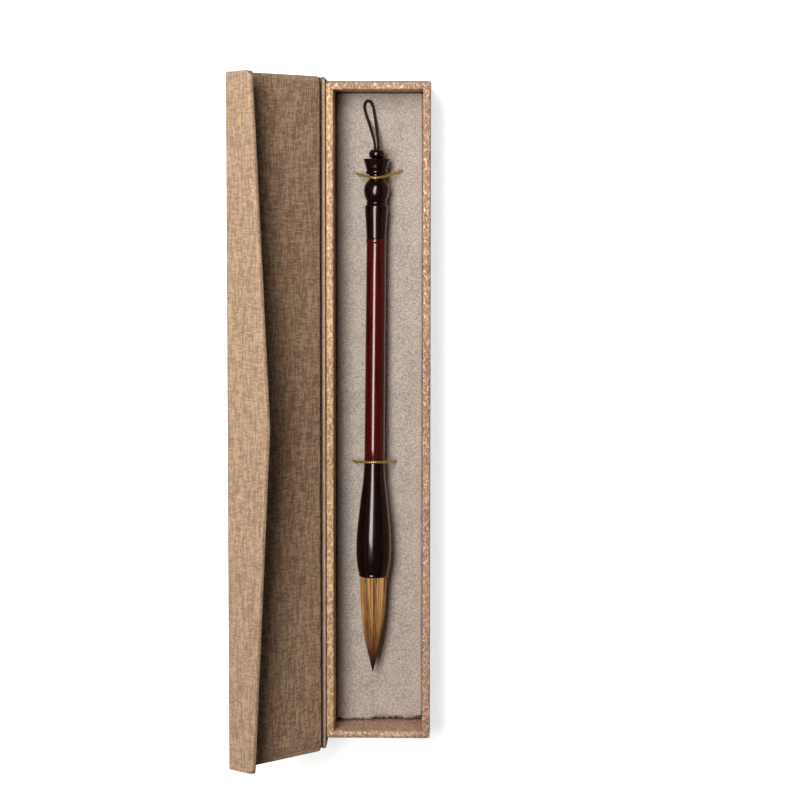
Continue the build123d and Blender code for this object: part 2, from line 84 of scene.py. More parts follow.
class Graph:
    """Short ways to add and join the nodes of one material or node group."""

    def __init__(self, tree: NodeTree) -> None:
        """Work on a node tree.

        Args:
            tree: The tree that the nodes go into.
        """
        self.tree = tree

    def node(self, kind: str, feeds: dict | None = None, **settings: object) -> ShaderNode:
        """Add a node.

        Args:
            kind: The node's type.
            feeds: What goes into its inputs, by their names or places.
            settings: The node's own properties.

        Returns:
            The new node.
        """
        made = self.tree.nodes.new(kind)
        for name, value in settings.items():
            setattr(made, name, value)
        self.fill(made, feeds or {})
        return made

    def fill(self, made: ShaderNode, feeds: dict) -> None:
        """Feed several inputs of a node, by their names or places."""
        for name, value in feeds.items():
            self.feed(made.inputs[name], value)

    def feed(self, socket: NodeSocket, value: object) -> None:
        """Join a socket to an input, or set the input's own value.

        Args:
            socket: The input.
            value: Another node's output, or a number, colour or vector.
        """
        if isinstance(value, NodeSocket):
            self.tree.links.new(value, socket)
        else:
            socket.default_value = value

    def math(self, operation: str, *values: object) -> NodeSocket:
        """Work out one number from up to three.

        Args:
            operation: The maths node's operation.
            values: Its inputs, in order.

        Returns:
            The result.
        """
        made = self.node("ShaderNodeMath", operation=operation)
        for socket, value in zip(made.inputs, values):
            self.feed(socket, value)
        return made.outputs[0]

    def plus(self, *values: object) -> NodeSocket:
        """The sum of two numbers."""
        return self.math("ADD", *values)

    def minus(self, *values: object) -> NodeSocket:
        """The first of two numbers less the second."""
        return self.math("SUBTRACT", *values)

    def times(self, *values: object) -> NodeSocket:
        """The product of two numbers."""
        return self.math("MULTIPLY", *values)

    def swing(self, value: NodeSocket, share: object) -> NodeSocket:
        """How far a cloudy value lies from its middle, times a share."""
        return self.times(self.minus(value, 0.5), share)

    def step(
        self, value: NodeSocket, low: float, high: float, start: float = 0.0, end: float = 1.0
    ) -> NodeSocket:
        """Rise smoothly from one number to another as a value crosses a band.

        Args:
            value: What is looked at.
            low: Where the rise starts.
            high: Where it ends.
            start: The result below the band.
            end: The result above it.

        Returns:
            The result.
        """
        made = self.node(
            "ShaderNodeMapRange",
            {"Value": value, "From Min": low, "From Max": high, "To Min": start, "To Max": end},
            interpolation_type="SMOOTHSTEP",
        )
        return made.outputs["Result"]

    def mix(self, share: object, first: object, second: object, how: str = "MIX") -> NodeSocket:
        """Mix two colours.

        Args:
            share: How much of the second shows, 0 to 1.
            first: The first colour.
            second: The second colour.
            how: The way they mix.

        Returns:
            The mixed colour.
        """
        feeds = {0: share, 6: first, 7: second}
        return self.node("ShaderNodeMix", feeds, data_type="RGBA", blend_type=how).outputs[2]

    def stretch(self, vector: NodeSocket, scale: Sequence[float], turn: float = 0.0) -> NodeSocket:
        """Scale and turn the coordinates of a pattern.

        Args:
            vector: The coordinates.
            scale: Repeats in a metre, each way.
            turn: Angle about Z, in degrees.

        Returns:
            The new coordinates.
        """
        made = self.node(
            "ShaderNodeMapping",
            {"Vector": vector, "Scale": tuple(scale), "Rotation": (0.0, 0.0, math.radians(turn))},
        )
        return made.outputs[0]

    def noise(
        self, vector: NodeSocket, scale: float = 1.0, detail: float = 2.0, roughness: float = 0.5
    ) -> NodeSocket:
        """A cloudy value from 0 to 1.

        Args:
            vector: The coordinates.
            scale: Clouds in a unit of them.
            detail: How many finer layers it has.
            roughness: How strong those are.

        Returns:
            The value.
        """
        made = self.node(
            "ShaderNodeTexNoise",
            {"Vector": vector, "Scale": scale, "Detail": detail, "Roughness": roughness},
        )
        return made.outputs[0]

    def join(self, *values: object) -> NodeSocket:
        """Put up to three numbers together as a vector."""
        return self.node("ShaderNodeCombineXYZ", dict(enumerate(values))).outputs[0]

    def group(self, tree: NodeTree, **feeds: object) -> ShaderNode:
        """Place a node group.

        Args:
            tree: The group.
            feeds: What goes into its inputs, by their names in small letters.

        Returns:
            The group's node.
        """
        made = self.node("ShaderNodeGroup", node_tree=tree)
        self.fill(made, {name.capitalize(): value for name, value in feeds.items()})
        return made


def new_group(
    name: str, takes: dict[str, object], gives: dict[str, str]
) -> tuple[Graph, ShaderNode, ShaderNode]:
    """Start a shader node group.

    Args:
        name: The group's name.
        takes: Its inputs and their usual values; None stands for a vector.
        gives: Its outputs and their kinds, Color or Float.

    Returns:
        The group's graph, and its input and output nodes.
    """
    tree = bpy.data.node_groups.new(name, "ShaderNodeTree")
    for label, value in takes.items():
        kind = "Vector" if value is None else "Float" if isinstance(value, float) else "Color"
        socket = tree.interface.new_socket(label, in_out="INPUT", socket_type=f"NodeSocket{kind}")
        if value is not None:
            socket.default_value = value
    for label, kind in gives.items():
        tree.interface.new_socket(label, in_out="OUTPUT", socket_type=f"NodeSocket{kind}")
    graph = Graph(tree)
    return graph, graph.node("NodeGroupInput"), graph.node("NodeGroupOutput")


@cache
def weave_group() -> NodeTree:
    """Plain-woven slub linen: threads both ways, each with its own tone, and painted shade in broken dark
    lines between them.

    Returns:
        The node group.
    """
    graph, takes, gives = new_group(
        "linen weave",
        {
            "Surface": None, "Threads": 1000.0, "Slubs": 0.5,
            # Dark is the colour of the painted shade between the threads.
            "Light": (0.6, 0.4, 0.3, 1.0), "Middle": (0.4, 0.3, 0.2, 1.0), "Dark": (0.2, 0.1, 0.05, 1.0),
        },
        {"Colour": "Color", "Height": "Float", "Roughness": "Float"},
    )
    feeds = {0: takes.outputs["Surface"], "Scale": takes.outputs["Threads"]}
    scaled = graph.node("ShaderNodeVectorMath", feeds, operation="SCALE").outputs[0]
    apart = graph.node("ShaderNodeSeparateXYZ", {0: scaled})
    wander_x = graph.noise(graph.stretch(scaled, (0.22, 0.05, 1.0)), detail=1.0)
    wander_y = graph.noise(graph.stretch(scaled, (0.05, 0.22, 1.0)), detail=1.0)
    sideways = graph.plus(apart.outputs[0], graph.times(wander_x, 1.2))
    upward = graph.plus(apart.outputs[1], graph.times(wander_y, 2.4))
    warp_at, weft_at = graph.math("FLOOR", sideways), graph.math("FLOOR", upward)
    across_warp = graph.minus(graph.math("FRACT", sideways), 0.5)
    across_weft = graph.minus(graph.math("FRACT", upward), 0.5)
    over = graph.times(graph.math("FRACT", graph.times(graph.plus(warp_at, weft_at), 0.5)), 2.0)
    warp_place = graph.join(graph.times(warp_at, 7.31), graph.times(upward, 0.085), 3.7)
    weft_place = graph.join(graph.times(sideways, 0.13), graph.times(weft_at, 5.77), 9.1)
    warp_tone = graph.noise(warp_place, detail=3.0, roughness=0.6)
    weft_tone = graph.noise(weft_place, detail=3.0, roughness=0.6)
    slub = graph.noise(graph.stretch(scaled, (0.16, 0.05, 1.0)), detail=2.0, roughness=0.6)
    fibre = graph.noise(graph.stretch(scaled, (0.9, 0.45, 1.0)), detail=1.0)

    def thread(
        across: NodeSocket, beside: NodeSocket, tone: NodeSocket, gap: float
    ) -> tuple[NodeSocket, NodeSocket]:
        """Shape one way's threads.

        Args:
            across: The place across the thread, from -0.5 to 0.5.
            beside: The place across the thread that it crosses.
            tone: The thread's own tone.
            gap: How strong the painted shade between the threads beside it is.

        Returns:
            How high the threads stand, and how much painted shade lies between them.
        """
        square = graph.times(across, across)
        height = graph.times(
            graph.minus(1.0, graph.times(square, 3.4)), graph.math("COSINE", graph.times(beside, 2.2))
        )
        # The painted shade between threads is deeper beside darker threads.
        painted_shade_depth = graph.step(tone, 0.36, 0.62, gap * 0.35, gap * 0.9)
        return height, graph.times(graph.step(square, 0.09, 0.22), painted_shade_depth)

    warp_up, warp_painted_shade = thread(across_warp, across_weft, warp_tone, 1.0)
    weft_up, weft_painted_shade = thread(across_weft, across_warp, weft_tone, 0.85)
    relief = graph.plus(warp_up, graph.times(graph.minus(weft_up, warp_up), over))
    tone = graph.plus(graph.swing(warp_tone, 1.15), graph.swing(weft_tone, 1.0))
    tone = graph.plus(tone, graph.swing(slub, takes.outputs["Slubs"]))
    tone = graph.plus(graph.plus(tone, graph.swing(fibre, 0.55)), 0.5)
    body = graph.mix(graph.step(tone, 0.26, 0.74), takes.outputs["Light"], takes.outputs["Middle"])
    # Painted shade in the gaps between threads, mixed towards the Dark colour.
    gap_painted_shade = graph.math("MAXIMUM", warp_painted_shade, weft_painted_shade)
    graph.fill(gives, {
        "Colour": graph.mix(gap_painted_shade, body, takes.outputs["Dark"]),
        "Height": graph.plus(relief, graph.times(slub, 0.6)),
        "Roughness": graph.step(relief, 0.0, 1.0, 0.95, 0.8),
    })
    return graph.tree


@cache
def crinkle_group() -> NodeTree:
    """Paper embossed with fine crossed ridges, whose mask also places the painted highlights.

    Returns:
        The node group.
    """
    graph, takes, gives = new_group(
        "crinkle emboss", {"Surface": None, "Cells": 330.0},
        {"Ridge": "Float", "Cloud": "Float", "Height": "Float"},
    )
    surface = takes.outputs["Surface"]
    bend = graph.node("ShaderNodeTexNoise", {"Vector": surface, "Scale": 420.0, "Detail": 2.0}).outputs[1]
    bent = graph.node(
        "ShaderNodeVectorMath", {0: bend, 1: (0.0022, 0.0022, 0.0022), 2: surface}, operation="MULTIPLY_ADD"
    ).outputs[0]
    ridges = []
    for turn, longer in ((24.0, 0.30), (-30.0, 0.48)):
        cells = graph.node(
            "ShaderNodeTexVoronoi",
            {
                "Vector": graph.stretch(bent, (1.0, longer, 1.0), turn), "Scale": takes.outputs["Cells"],
                "Randomness": 1.0,
            },
            feature="DISTANCE_TO_EDGE",
        ).outputs[0]
        ridges.append(graph.step(cells, 0.03, 0.15, 1.0, 0.0))
    strength = graph.noise(surface, 620.0, 2.0)
    ridge = graph.math("MAXIMUM", ridges[0], graph.times(ridges[1], 0.7))
    ridge = graph.times(ridge, graph.step(strength, 0.36, 0.58, 0.3, 1.0))
    graph.fill(gives, {"Ridge": ridge, "Cloud": graph.noise(surface, 55.0, 4.0, 0.6), "Height": ridge})
    return graph.tree


@cache
def fleck_group() -> NodeTree:
    """Specks of lighter and darker fibre, for flock, board, foam and thread.

    Returns:
        The node group.
    """
    graph, takes, gives = new_group(
        "fibre flecks",
        {
            "Surface": None, "Grains": 900.0, "Amount": 1.0,
            "Light": (0.6, 0.6, 0.6, 1.0), "Dark": (0.3, 0.3, 0.3, 1.0),
        },
        {"Colour": "Color", "Height": "Float"},
    )
    surface = takes.outputs["Surface"]
    fine = graph.noise(surface, takes.outputs["Grains"], 2.0, 0.7)
    broad = graph.noise(surface, graph.times(takes.outputs["Grains"], 0.045), 3.0, 0.55)
    level = graph.plus(graph.plus(graph.swing(fine, takes.outputs["Amount"]), 0.5), graph.swing(broad, 0.3))
    colour = graph.mix(graph.step(level, 0.2, 0.8), takes.outputs["Dark"], takes.outputs["Light"])
    graph.fill(gives, {"Colour": colour, "Height": fine})
    return graph.tree


# ---------------------------------------------------------------- finishes


@dataclass(frozen=True)
class Finish:
    """A named finish that belongs to one of the record's material slots."""

    name: str
    slot: str

    def material(self) -> Material:
        """The finish's material, made the first time that it is asked for."""
        found = bpy.data.materials.get(self.name)
        if found:
            return found
        made = bpy.data.materials.new(self.name)
        made.use_nodes = True
        made.node_tree.nodes.clear()
        graph = Graph(made.node_tree)
        shader = graph.node("ShaderNodeBsdfPrincipled")
        graph.node("ShaderNodeOutputMaterial", {"Surface": shader.outputs[0]})
        self.dress(graph, shader)
        return made

    def dress(self, graph: Graph, shader: ShaderNode) -> None:
        """Add the finish's own nodes before the shader.

        Args:
            graph: The material's graph.
            shader: The shader that they feed.
        """
        raise NotImplementedError

    def surface(self, graph: Graph) -> NodeSocket:
        """Coordinates on the piece itself, in metres."""
        return graph.node("ShaderNodeTexCoord").outputs["Object"]

    def bump(
        self, graph: Graph, shader: ShaderNode, height: NodeSocket, depth: float, strength: float = 1.0
    ) -> None:
        """Give the surface fine relief.

        Args:
            graph: The material's graph.
            shader: The shader whose normal is bent.
            height: How high each place stands, 0 to 1.
            depth: The relief's depth in metres.
            strength: How much of it shows.
        """
        made = graph.node("ShaderNodeBump", {"Height": height, "Distance": depth, "Strength": strength})
        graph.feed(shader.inputs["Normal"], made.outputs[0])


@dataclass(frozen=True)
class Linen(Finish):
    """Woven linen, laid by the piece's own cloth map."""

    light: Colour = (0.74, 0.50, 0.33, 1.0)
    middle: Colour = (0.44, 0.285, 0.180, 1.0)
    # The dark colour is painted shade between the threads.
    dark: Colour = (0.19, 0.100, 0.052, 1.0)
    threads: float = 1420.0
    slubs: float = 0.12

    def dress(self, graph: Graph, shader: ShaderNode) -> None:
        """Weave the cloth.

        Args:
            graph: The material's graph.
            shader: The shader that is fed.
        """
        surface = graph.node("ShaderNodeUVMap", uv_map="cloth").outputs[0]
        weave = graph.group(
            weave_group(), surface=surface, threads=self.threads, slubs=self.slubs,
            light=self.light, middle=self.middle, dark=self.dark,
        )
        graph.fill(shader, {
            "Base Color": weave.outputs["Colour"], "Roughness": weave.outputs["Roughness"],
            "Sheen Weight": 0.12, "Sheen Roughness": 0.45,
        })
        self.bump(graph, shader, weave.outputs["Height"], 0.00022, 0.7)


@dataclass(frozen=True)
class EmbossedPaper(Finish):
    """Copper-gold paper with a crinkled emboss and painted highlights on its ridges."""

    valley: Colour = (0.30, 0.140, 0.074, 1.0)
    face: Colour = (0.42, 0.223, 0.125, 1.0)
    # The lighter ridge colour is a painted highlight.
    crest_highlight: Colour = (0.80, 0.56, 0.40, 1.0)
    cells: float = 620.0
    relief: float = 0.00035
    shine: float = 0.40

    def dress(self, graph: Graph, shader: ShaderNode) -> None:
        """Emboss the paper and paint highlights on its ridges.

        Args:
            graph: The material's graph.
            shader: The shader that is fed.
        """
        crinkle = graph.group(crinkle_group(), surface=self.surface(graph), cells=self.cells)
        body = graph.mix(graph.step(crinkle.outputs["Cloud"], 0.30, 0.66), self.valley, self.face)
        graph.fill(shader, {
            # The ridges get the painted highlight colour.
            "Base Color": graph.mix(crinkle.outputs["Ridge"], body, self.crest_highlight),
            "Roughness": graph.step(crinkle.outputs["Ridge"], 0.0, 1.0, 0.58, self.shine), "Metallic": 0.2,
        })
        self.bump(graph, shader, crinkle.outputs["Height"], self.relief, 0.9)


@dataclass(frozen=True)
class Flock(Finish):
    """Short fibres or grains of two tones, such as velvet, foam, board or plain thread."""

    light: Colour = (0.5, 0.5, 0.5, 1.0)
    dark: Colour = (0.3, 0.3, 0.3, 1.0)
    grains: float = 900.0
    amount: float = 1.0
    roughness: float = 0.95
    sheen: float = 0.0
    depth: float = 0.0002

    def dress(self, graph: Graph, shader: ShaderNode) -> None:
        """Scatter the fibres.

        Args:
            graph: The material's graph.
            shader: The shader that is fed.
        """
        flecks = graph.group(
            fleck_group(), surface=self.surface(graph), grains=self.grains, amount=self.amount,
            light=self.light, dark=self.dark,
        )
        worn = self.roughness * 0.85
        graph.fill(shader, {
            "Base Color": flecks.outputs["Colour"],
            "Roughness": graph.step(flecks.outputs["Height"], 0.2, 0.8, self.roughness, worn),
            "Sheen Weight": self.sheen, "Sheen Roughness": 0.4,
        })
        self.bump(graph, shader, flecks.outputs["Height"], self.depth)


@dataclass(frozen=True)
class Lacquer(Finish):
    """Turned wood under a deep gloss, its grain faint along the brush."""

    deep: Colour = (0.0030, 0.0007, 0.0005, 1.0)
    warm: Colour = (0.0090, 0.0022, 0.0016, 1.0)
    sheen: Colour = (1.0, 0.80, 0.76, 1.0)
    gloss: float = 0.18
    shine: float = 0.36

    def dress(self, graph: Graph, shader: ShaderNode) -> None:
        """Show the grain under the gloss.

        Args:
            graph: The material's graph.
            shader: The shader that is fed.
        """
        surface = self.surface(graph)
        grain = graph.noise(graph.stretch(surface, (900.0, 38.0, 900.0)), 1.0, 4.0, 0.6)
        cloud = graph.noise(surface, 260.0, 3.0)
        graph.fill(shader, {
            "Base Color": graph.mix(graph.step(grain, 0.35, 0.68), self.deep, self.warm),
            "Roughness": graph.step(cloud, 0.3, 0.7, self.gloss, self.gloss * 1.35),
            "Specular IOR Level": self.shine, "Specular Tint": self.sheen,
            "Coat Weight": 0.50, "Coat Roughness": 0.12,
        })
        self.bump(graph, shader, grain, 0.00002, 0.4)


@dataclass(frozen=True)
class Hair(Finish):
    """Golden-brown animal hair, streaked, and dark towards the point."""

    pale: Colour = (0.66, 0.360, 0.125, 1.0)
    mid: Colour = (0.26, 0.105, 0.023, 1.0)
    dark: Colour = (0.046, 0.017, 0.004, 1.0)
    russet: Colour = (0.105, 0.030, 0.008, 1.0)
    tip: Colour = (0.014, 0.005, 0.003, 1.0)

    def dress(self, graph: Graph, shader: ShaderNode) -> None:
        """Streak the hairs and darken the point.

        Args:
            graph: The material's graph.
            shader: The shader that is fed.
        """
        surface = self.surface(graph)
        streak = graph.noise(graph.stretch(surface, (1100.0, 20.0, 1100.0)), 1.0, 3.0, 0.66)
        strand = graph.node("ShaderNodeAttribute", attribute_name="tone").outputs["Fac"]
        level = graph.plus(graph.times(streak, 0.55), graph.times(strand, 0.45))
        colour = graph.mix(graph.step(level, 0.37, 0.57), self.pale, self.mid)
        colour = graph.mix(graph.step(level, 0.56, 0.72), colour, self.dark)
        along = graph.node("ShaderNodeAttribute", attribute_name="along").outputs["Fac"]
        point = graph.plus(along, graph.times(streak, 9.0))
        colour = graph.mix(graph.step(point, 14.0, 42.0, 0.85, 0.0), colour, self.russet)
        colour = graph.mix(graph.step(point, 9.0, 21.0, 0.95, 0.0), colour, self.tip)
        graph.fill(shader, {
            "Base Color": colour, "Roughness": graph.step(streak, 0.3, 0.7, 0.6, 0.45),
            "Specular IOR Level": 0.25,
        })
        self.bump(graph, shader, streak, 0.0001, 0.5)


@dataclass(frozen=True)
class Thread(Finish):
    """A twisted or braided thread that changes along its run."""

    light: Colour = (0.75, 0.52, 0.16, 1.0)
    dark: Colour = (0.28, 0.16, 0.03, 1.0)
    metal: float = 0.0
    roughness: float = 0.5
    turns: float = 1.1
    specular: float = 0.5

    def dress(self, graph: Graph, shader: ShaderNode) -> None:
        """Lay the thread's fibres along its run.

        Args:
            graph: The material's graph.
            shader: The shader that is fed.
        """
        along = graph.node("ShaderNodeAttribute", attribute_name="along").outputs["Fac"]
        tone = graph.node("ShaderNodeAttribute", attribute_name="tone").outputs["Fac"]
        wave = graph.math("SINE", graph.times(graph.plus(along, tone), math.tau * self.turns))
        fine = graph.noise(self.surface(graph), 2600.0, 2.0)
        level = graph.plus(graph.times(wave, 0.28), fine)
        graph.fill(shader, {
            "Base Color": graph.mix(graph.step(level, 0.25, 0.75), self.dark, self.light),
            "Roughness": graph.step(level, 0.2, 0.8, min(1.0, self.roughness * 1.3), self.roughness),
            "Metallic": self.metal, "Specular IOR Level": self.specular,
        })
        self.bump(graph, shader, level, 0.00008, 0.6)


@dataclass(frozen=True)
class Ink(Finish):
    """Printed colour that sinks a little unevenly into paper."""

    full: Colour = (0.03, 0.025, 0.022, 1.0)
    faint: Colour = (0.09, 0.08, 0.07, 1.0)

    def dress(self, graph: Graph, shader: ShaderNode) -> None:
        """Let the ink sink in.

        Args:
            graph: The material's graph.
            shader: The shader that is fed.
        """
        patch = graph.noise(self.surface(graph), 1400.0, 4.0, 0.7)
        graph.fill(shader, {
            "Base Color": graph.mix(graph.step(patch, 0.4, 0.75), self.full, self.faint),
            "Roughness": graph.step(patch, 0.3, 0.7, 0.75, 0.9),
        })
        self.bump(graph, shader, patch, 0.00002, 0.4)


LINEN = Linen("slub linen", "linen")
# A lighter copy of the linen, painted with the light that falls on the spine's turned-in strip.
LIT_STRIP_LINEN = Linen(
    "turned-in linen with painted light", "linen", light=(0.98, 0.76, 0.60, 1.0), middle=(0.74, 0.52, 0.37, 1.0),
    dark=(0.42, 0.26, 0.16, 1.0),
)
LINING = Linen(
    "linen lining", "lining_linen", light=(0.68, 0.43, 0.262, 1.0), middle=(0.34, 0.199, 0.112, 1.0),
    dark=(0.105, 0.050, 0.023, 1.0), threads=1300.0,
)
GILT_PAPER = EmbossedPaper("embossed copper-gold paper", "embossed_paper")
# The left wall's copy of the paper, painted more golden for the lamp's reflection on it.
REFLECTION_GOLD_PAPER = EmbossedPaper(
    "embossed paper with painted golden reflection", "embossed_paper",
    valley=(0.32, 0.160, 0.070, 1.0), face=(0.46, 0.260, 0.122, 1.0), crest_highlight=(0.78, 0.53, 0.310, 1.0),
    cells=480.0, relief=0.00016, shine=0.5,
)
# The foot wall's copy of the paper, painted brighter and with stronger highlights for the light on its inner
# face.
FOOT_LIT_PAPER = EmbossedPaper(
    "embossed copper paper with painted light", "embossed_paper",
    valley=(0.27, 0.125, 0.066, 1.0), face=(0.50, 0.275, 0.160, 1.0), crest_highlight=(0.98, 0.72, 0.53, 1.0),
    cells=600.0, relief=0.0004,
)
VELVET = Flock(
    "grey velvet", "velvet", light=(0.62, 0.535, 0.470, 1.0), dark=(0.30, 0.252, 0.218, 1.0),
    grains=1700.0, amount=1.8, sheen=0.12, depth=0.0003,
)
GREYBOARD = Flock(
    "raw greyboard", "greyboard", light=(0.30, 0.28, 0.25, 1.0), dark=(0.16, 0.15, 0.135, 1.0), grains=700.0,
)
FOAM = Flock(
    "soft foam", "foam", light=(0.42, 0.41, 0.39, 1.0), dark=(0.16, 0.155, 0.15, 1.0),
    grains=1500.0, depth=0.0004,
)
LABEL_PAPER = Flock(
    "label paper", "label_paper", light=(0.90, 0.83, 0.78, 1.0), dark=(0.80, 0.72, 0.66, 1.0),
    grains=520.0, amount=0.6, depth=0.00003, roughness=0.85,
)
DARK_LACQUER = Lacquer("near-black lacquer", "dark_lacquer")
RED_LACQUER = Lacquer(
    "dark red lacquer", "red_lacquer", deep=(0.032, 0.0008, 0.0012, 1.0), warm=(0.078, 0.0028, 0.0038, 1.0),
    sheen=(1.0, 0.60, 0.58, 1.0), gloss=0.17, shine=0.55,
)
TUFT_HAIR = Hair("golden-brown hair", "hair")
GOLD_THREAD = Thread(
    "gold elastic thread", "gold_elastic", light=(0.92, 0.64, 0.17, 1.0), dark=(0.22, 0.12, 0.02, 1.0),
    metal=0.7, roughness=0.3,
)
LOOP_THREAD = Thread(
    "waxed loop cord", "loop_cord", light=(0.036, 0.013, 0.007, 1.0), dark=(0.010, 0.004, 0.002, 1.0),
    roughness=0.6, specular=0.2,
)
FRAYED_THREAD = Thread(
    "frayed linen thread", "lining_linen", light=(0.72, 0.50, 0.33, 1.0), dark=(0.46, 0.29, 0.175, 1.0),
    roughness=0.85, turns=0.6,
)
RAW_WOOD = Flock(
    "plain dowel wood", "raw_wood", light=(0.45, 0.30, 0.16, 1.0), dark=(0.25, 0.15, 0.075, 1.0),
    grains=600.0,
)
ROSIN = Flock(
    "set rosin", "rosin", light=(0.18, 0.07, 0.018, 1.0), dark=(0.08, 0.028, 0.008, 1.0), grains=300.0,
    roughness=0.25,
)
NICKEL = Flock(
    "nickel-plated magnet", "magnet", light=(0.5, 0.5, 0.5, 1.0), dark=(0.4, 0.4, 0.4, 1.0), grains=400.0,
    roughness=0.3, depth=0.00001,
)
BLACK_INK = Ink("brushed ink", "label_paper")
GREY_INK = Ink("grey line ink", "label_paper", full=(0.30, 0.28, 0.26, 1.0), faint=(0.42, 0.39, 0.36, 1.0))
RED_INK = Ink("red seal ink", "label_paper", full=(0.55, 0.06, 0.025, 1.0), faint=(0.70, 0.16, 0.09, 1.0))


# ---------------------------------------------------------------- shaping


@dataclass(frozen=True)
class Panel:
    """A flat panel's own directions: across it, along the box, and through it towards the inside."""

    origin: Vector
    across: Vector
    inward: Vector

    @property
    def place(self) -> Matrix:
        """From the panel's own millimetres to the box's."""
        turn = Matrix((self.across, ALONG, self.inward)).transposed()
        return Matrix.Translation(self.origin) @ turn.to_4x4()

    def point(self, across: float, along: float, inward: float) -> Vector:
        """A place on the panel, in the box's millimetres."""
        return self.place @ Vector((across, along, inward))


HALF_LENGTH = 175.5
BACK, FRONT = -28.5, 28.5
SKIN = 2.8
RIM = 37.8
BED_TOP = 13.8
BOARD_EDGE = 0.2
CLOTH_THICKNESS = 0.42
FOLD_SHORT = 0.25
SUNK_IN_COVER = 0.6
LID_OPEN = math.radians(134.0)
FLAP_RISE = math.radians(44.0)
LID_HINGE = Vector((-29.25, 0.0, 40.95))
FLAP_JOINT = (61.05, 0.0, 0.05)
BOX = Panel(Vector((0.0, 0.0, 0.0)), Vector((1.0, 0.0, 0.0)), Vector((0.0, 0.0, 1.0)))
LID = Panel(
    LID_HINGE,
    Vector((math.cos(LID_OPEN), 0.0, math.sin(LID_OPEN))),
    Vector((math.sin(LID_OPEN), 0.0, -math.cos(LID_OPEN))),
)
FLAP = Panel(
    LID.point(*FLAP_JOINT),
    Vector((math.cos(FLAP_RISE), 0.0, math.sin(FLAP_RISE))),
    Vector((math.sin(FLAP_RISE), 0.0, -math.cos(FLAP_RISE))),
)


def only(parts: Iterable, kind: type) -> list:
    """Those of an operator's results that are of one kind."""
    return [part for part in parts if isinstance(part, kind)]


def round_off(
    shape: Shape, parts: Sequence, radius: float, steps: int, kind: str = "EDGES", held: bool = False
) -> None:
    """Round edges or corners.

    Args:
        shape: The shape that they are on.
        parts: The edges or corners.
        radius: How far the rounding reaches.
        steps: Faces across it.
        kind: EDGES, or VERTICES for the corners of a flat outline.
        held: Whether a rounding stops where it would meet the next.
    """
    bmesh.ops.bevel(
        shape, geom=parts, offset=radius, segments=steps, profile=0.5, affect=kind, material=-1,
        clamp_overlap=held,
    )


def slab(low: Sequence[float], high: Sequence[float], rounding: float, steps: int = 3) -> Shape:
    """A board-like block with every edge rounded.

    Args:
        low: Its lowest corner.
        high: Its highest corner.
        rounding: The radius of its edges.
        steps: Faces across each rounding.

    Returns:
        The block.
    """
    shape = bmesh.new()
    bmesh.ops.create_cube(shape, size=1.0)
    low, high = Vector(low), Vector(high)
    bmesh.ops.scale(shape, vec=high - low, verts=shape.verts)
    bmesh.ops.translate(shape, vec=(low + high) / 2, verts=shape.verts)
    if rounding:
        round_off(shape, shape.edges[:], rounding, steps)
    return shape


def whole(shape: Shape) -> list:
    """Every corner, edge and face of a shape."""
    return shape.verts[:] + shape.edges[:] + shape.faces[:]


def slice_up(shape: Shape, axis: int, places: Iterable[float]) -> None:
    """Cut a shape across one of its directions, so that it can bend or ripple there.

    Args:
        shape: What is cut.
        axis: 0, 1 or 2, the direction that the cuts stand across.
        places: Where they are.
    """
    normal = Vector([float(i == axis) for i in range(3)])
    for place in places:
        bmesh.ops.bisect_plane(shape, geom=whole(shape), plane_co=normal * place, plane_no=normal)


def spaced(low: float, high: float, gap: float) -> list[float]:
    """Even places between two ends, about a gap apart."""
    count = max(1, round((high - low) / gap))
    return [low + (high - low) * i / count for i in range(1, count)]


def grid_up(shape: Shape, *cuts: tuple[int, float, float, float]) -> None:
    """Cut a shape evenly in several directions.

    Args:
        shape: What is cut.
        cuts: For each direction its axis, its two ends and the gap between its cuts.
    """
    for axis, low, high, gap in cuts:
        slice_up(shape, axis, spaced(low, high, gap))


def ripple(shape: Shape, depth: float, wave: float, seed: float) -> None:
    """Make a surface a little uneven.

    Args:
        shape: What is made uneven.
        depth: How far it moves, in or out.
        wave: The size of its bumps.
        seed: Where in the noise it starts.
    """
    shape.normal_update()
    for vert in shape.verts:
        vert.co += vert.normal * depth * noise.noise(vert.co / wave + Vector((seed, seed * 1.7, -seed)))


def lay_cloth(shape: Shape, start: float = 0.0) -> None:
    """Lay the weave over a shape, true to size, by the side that each face turns.

    Args:
        shape: What the cloth covers.
        start: How far into the cloth the shape's own zero lies.
    """
    cloth = shape.loops.layers.uv.new("cloth")
    shape.normal_update()
    for face in shape.faces:
        sides = [abs(n) for n in face.normal]
        facing = sides.index(max(sides))
        across, along = {0: (2, 1), 1: (0, 2), 2: (0, 1)}[facing]
        for loop in face.loops:
            place = loop.vert.co
            loop[cloth].uv = ((place[across] + start) * MM, place[along] * MM)


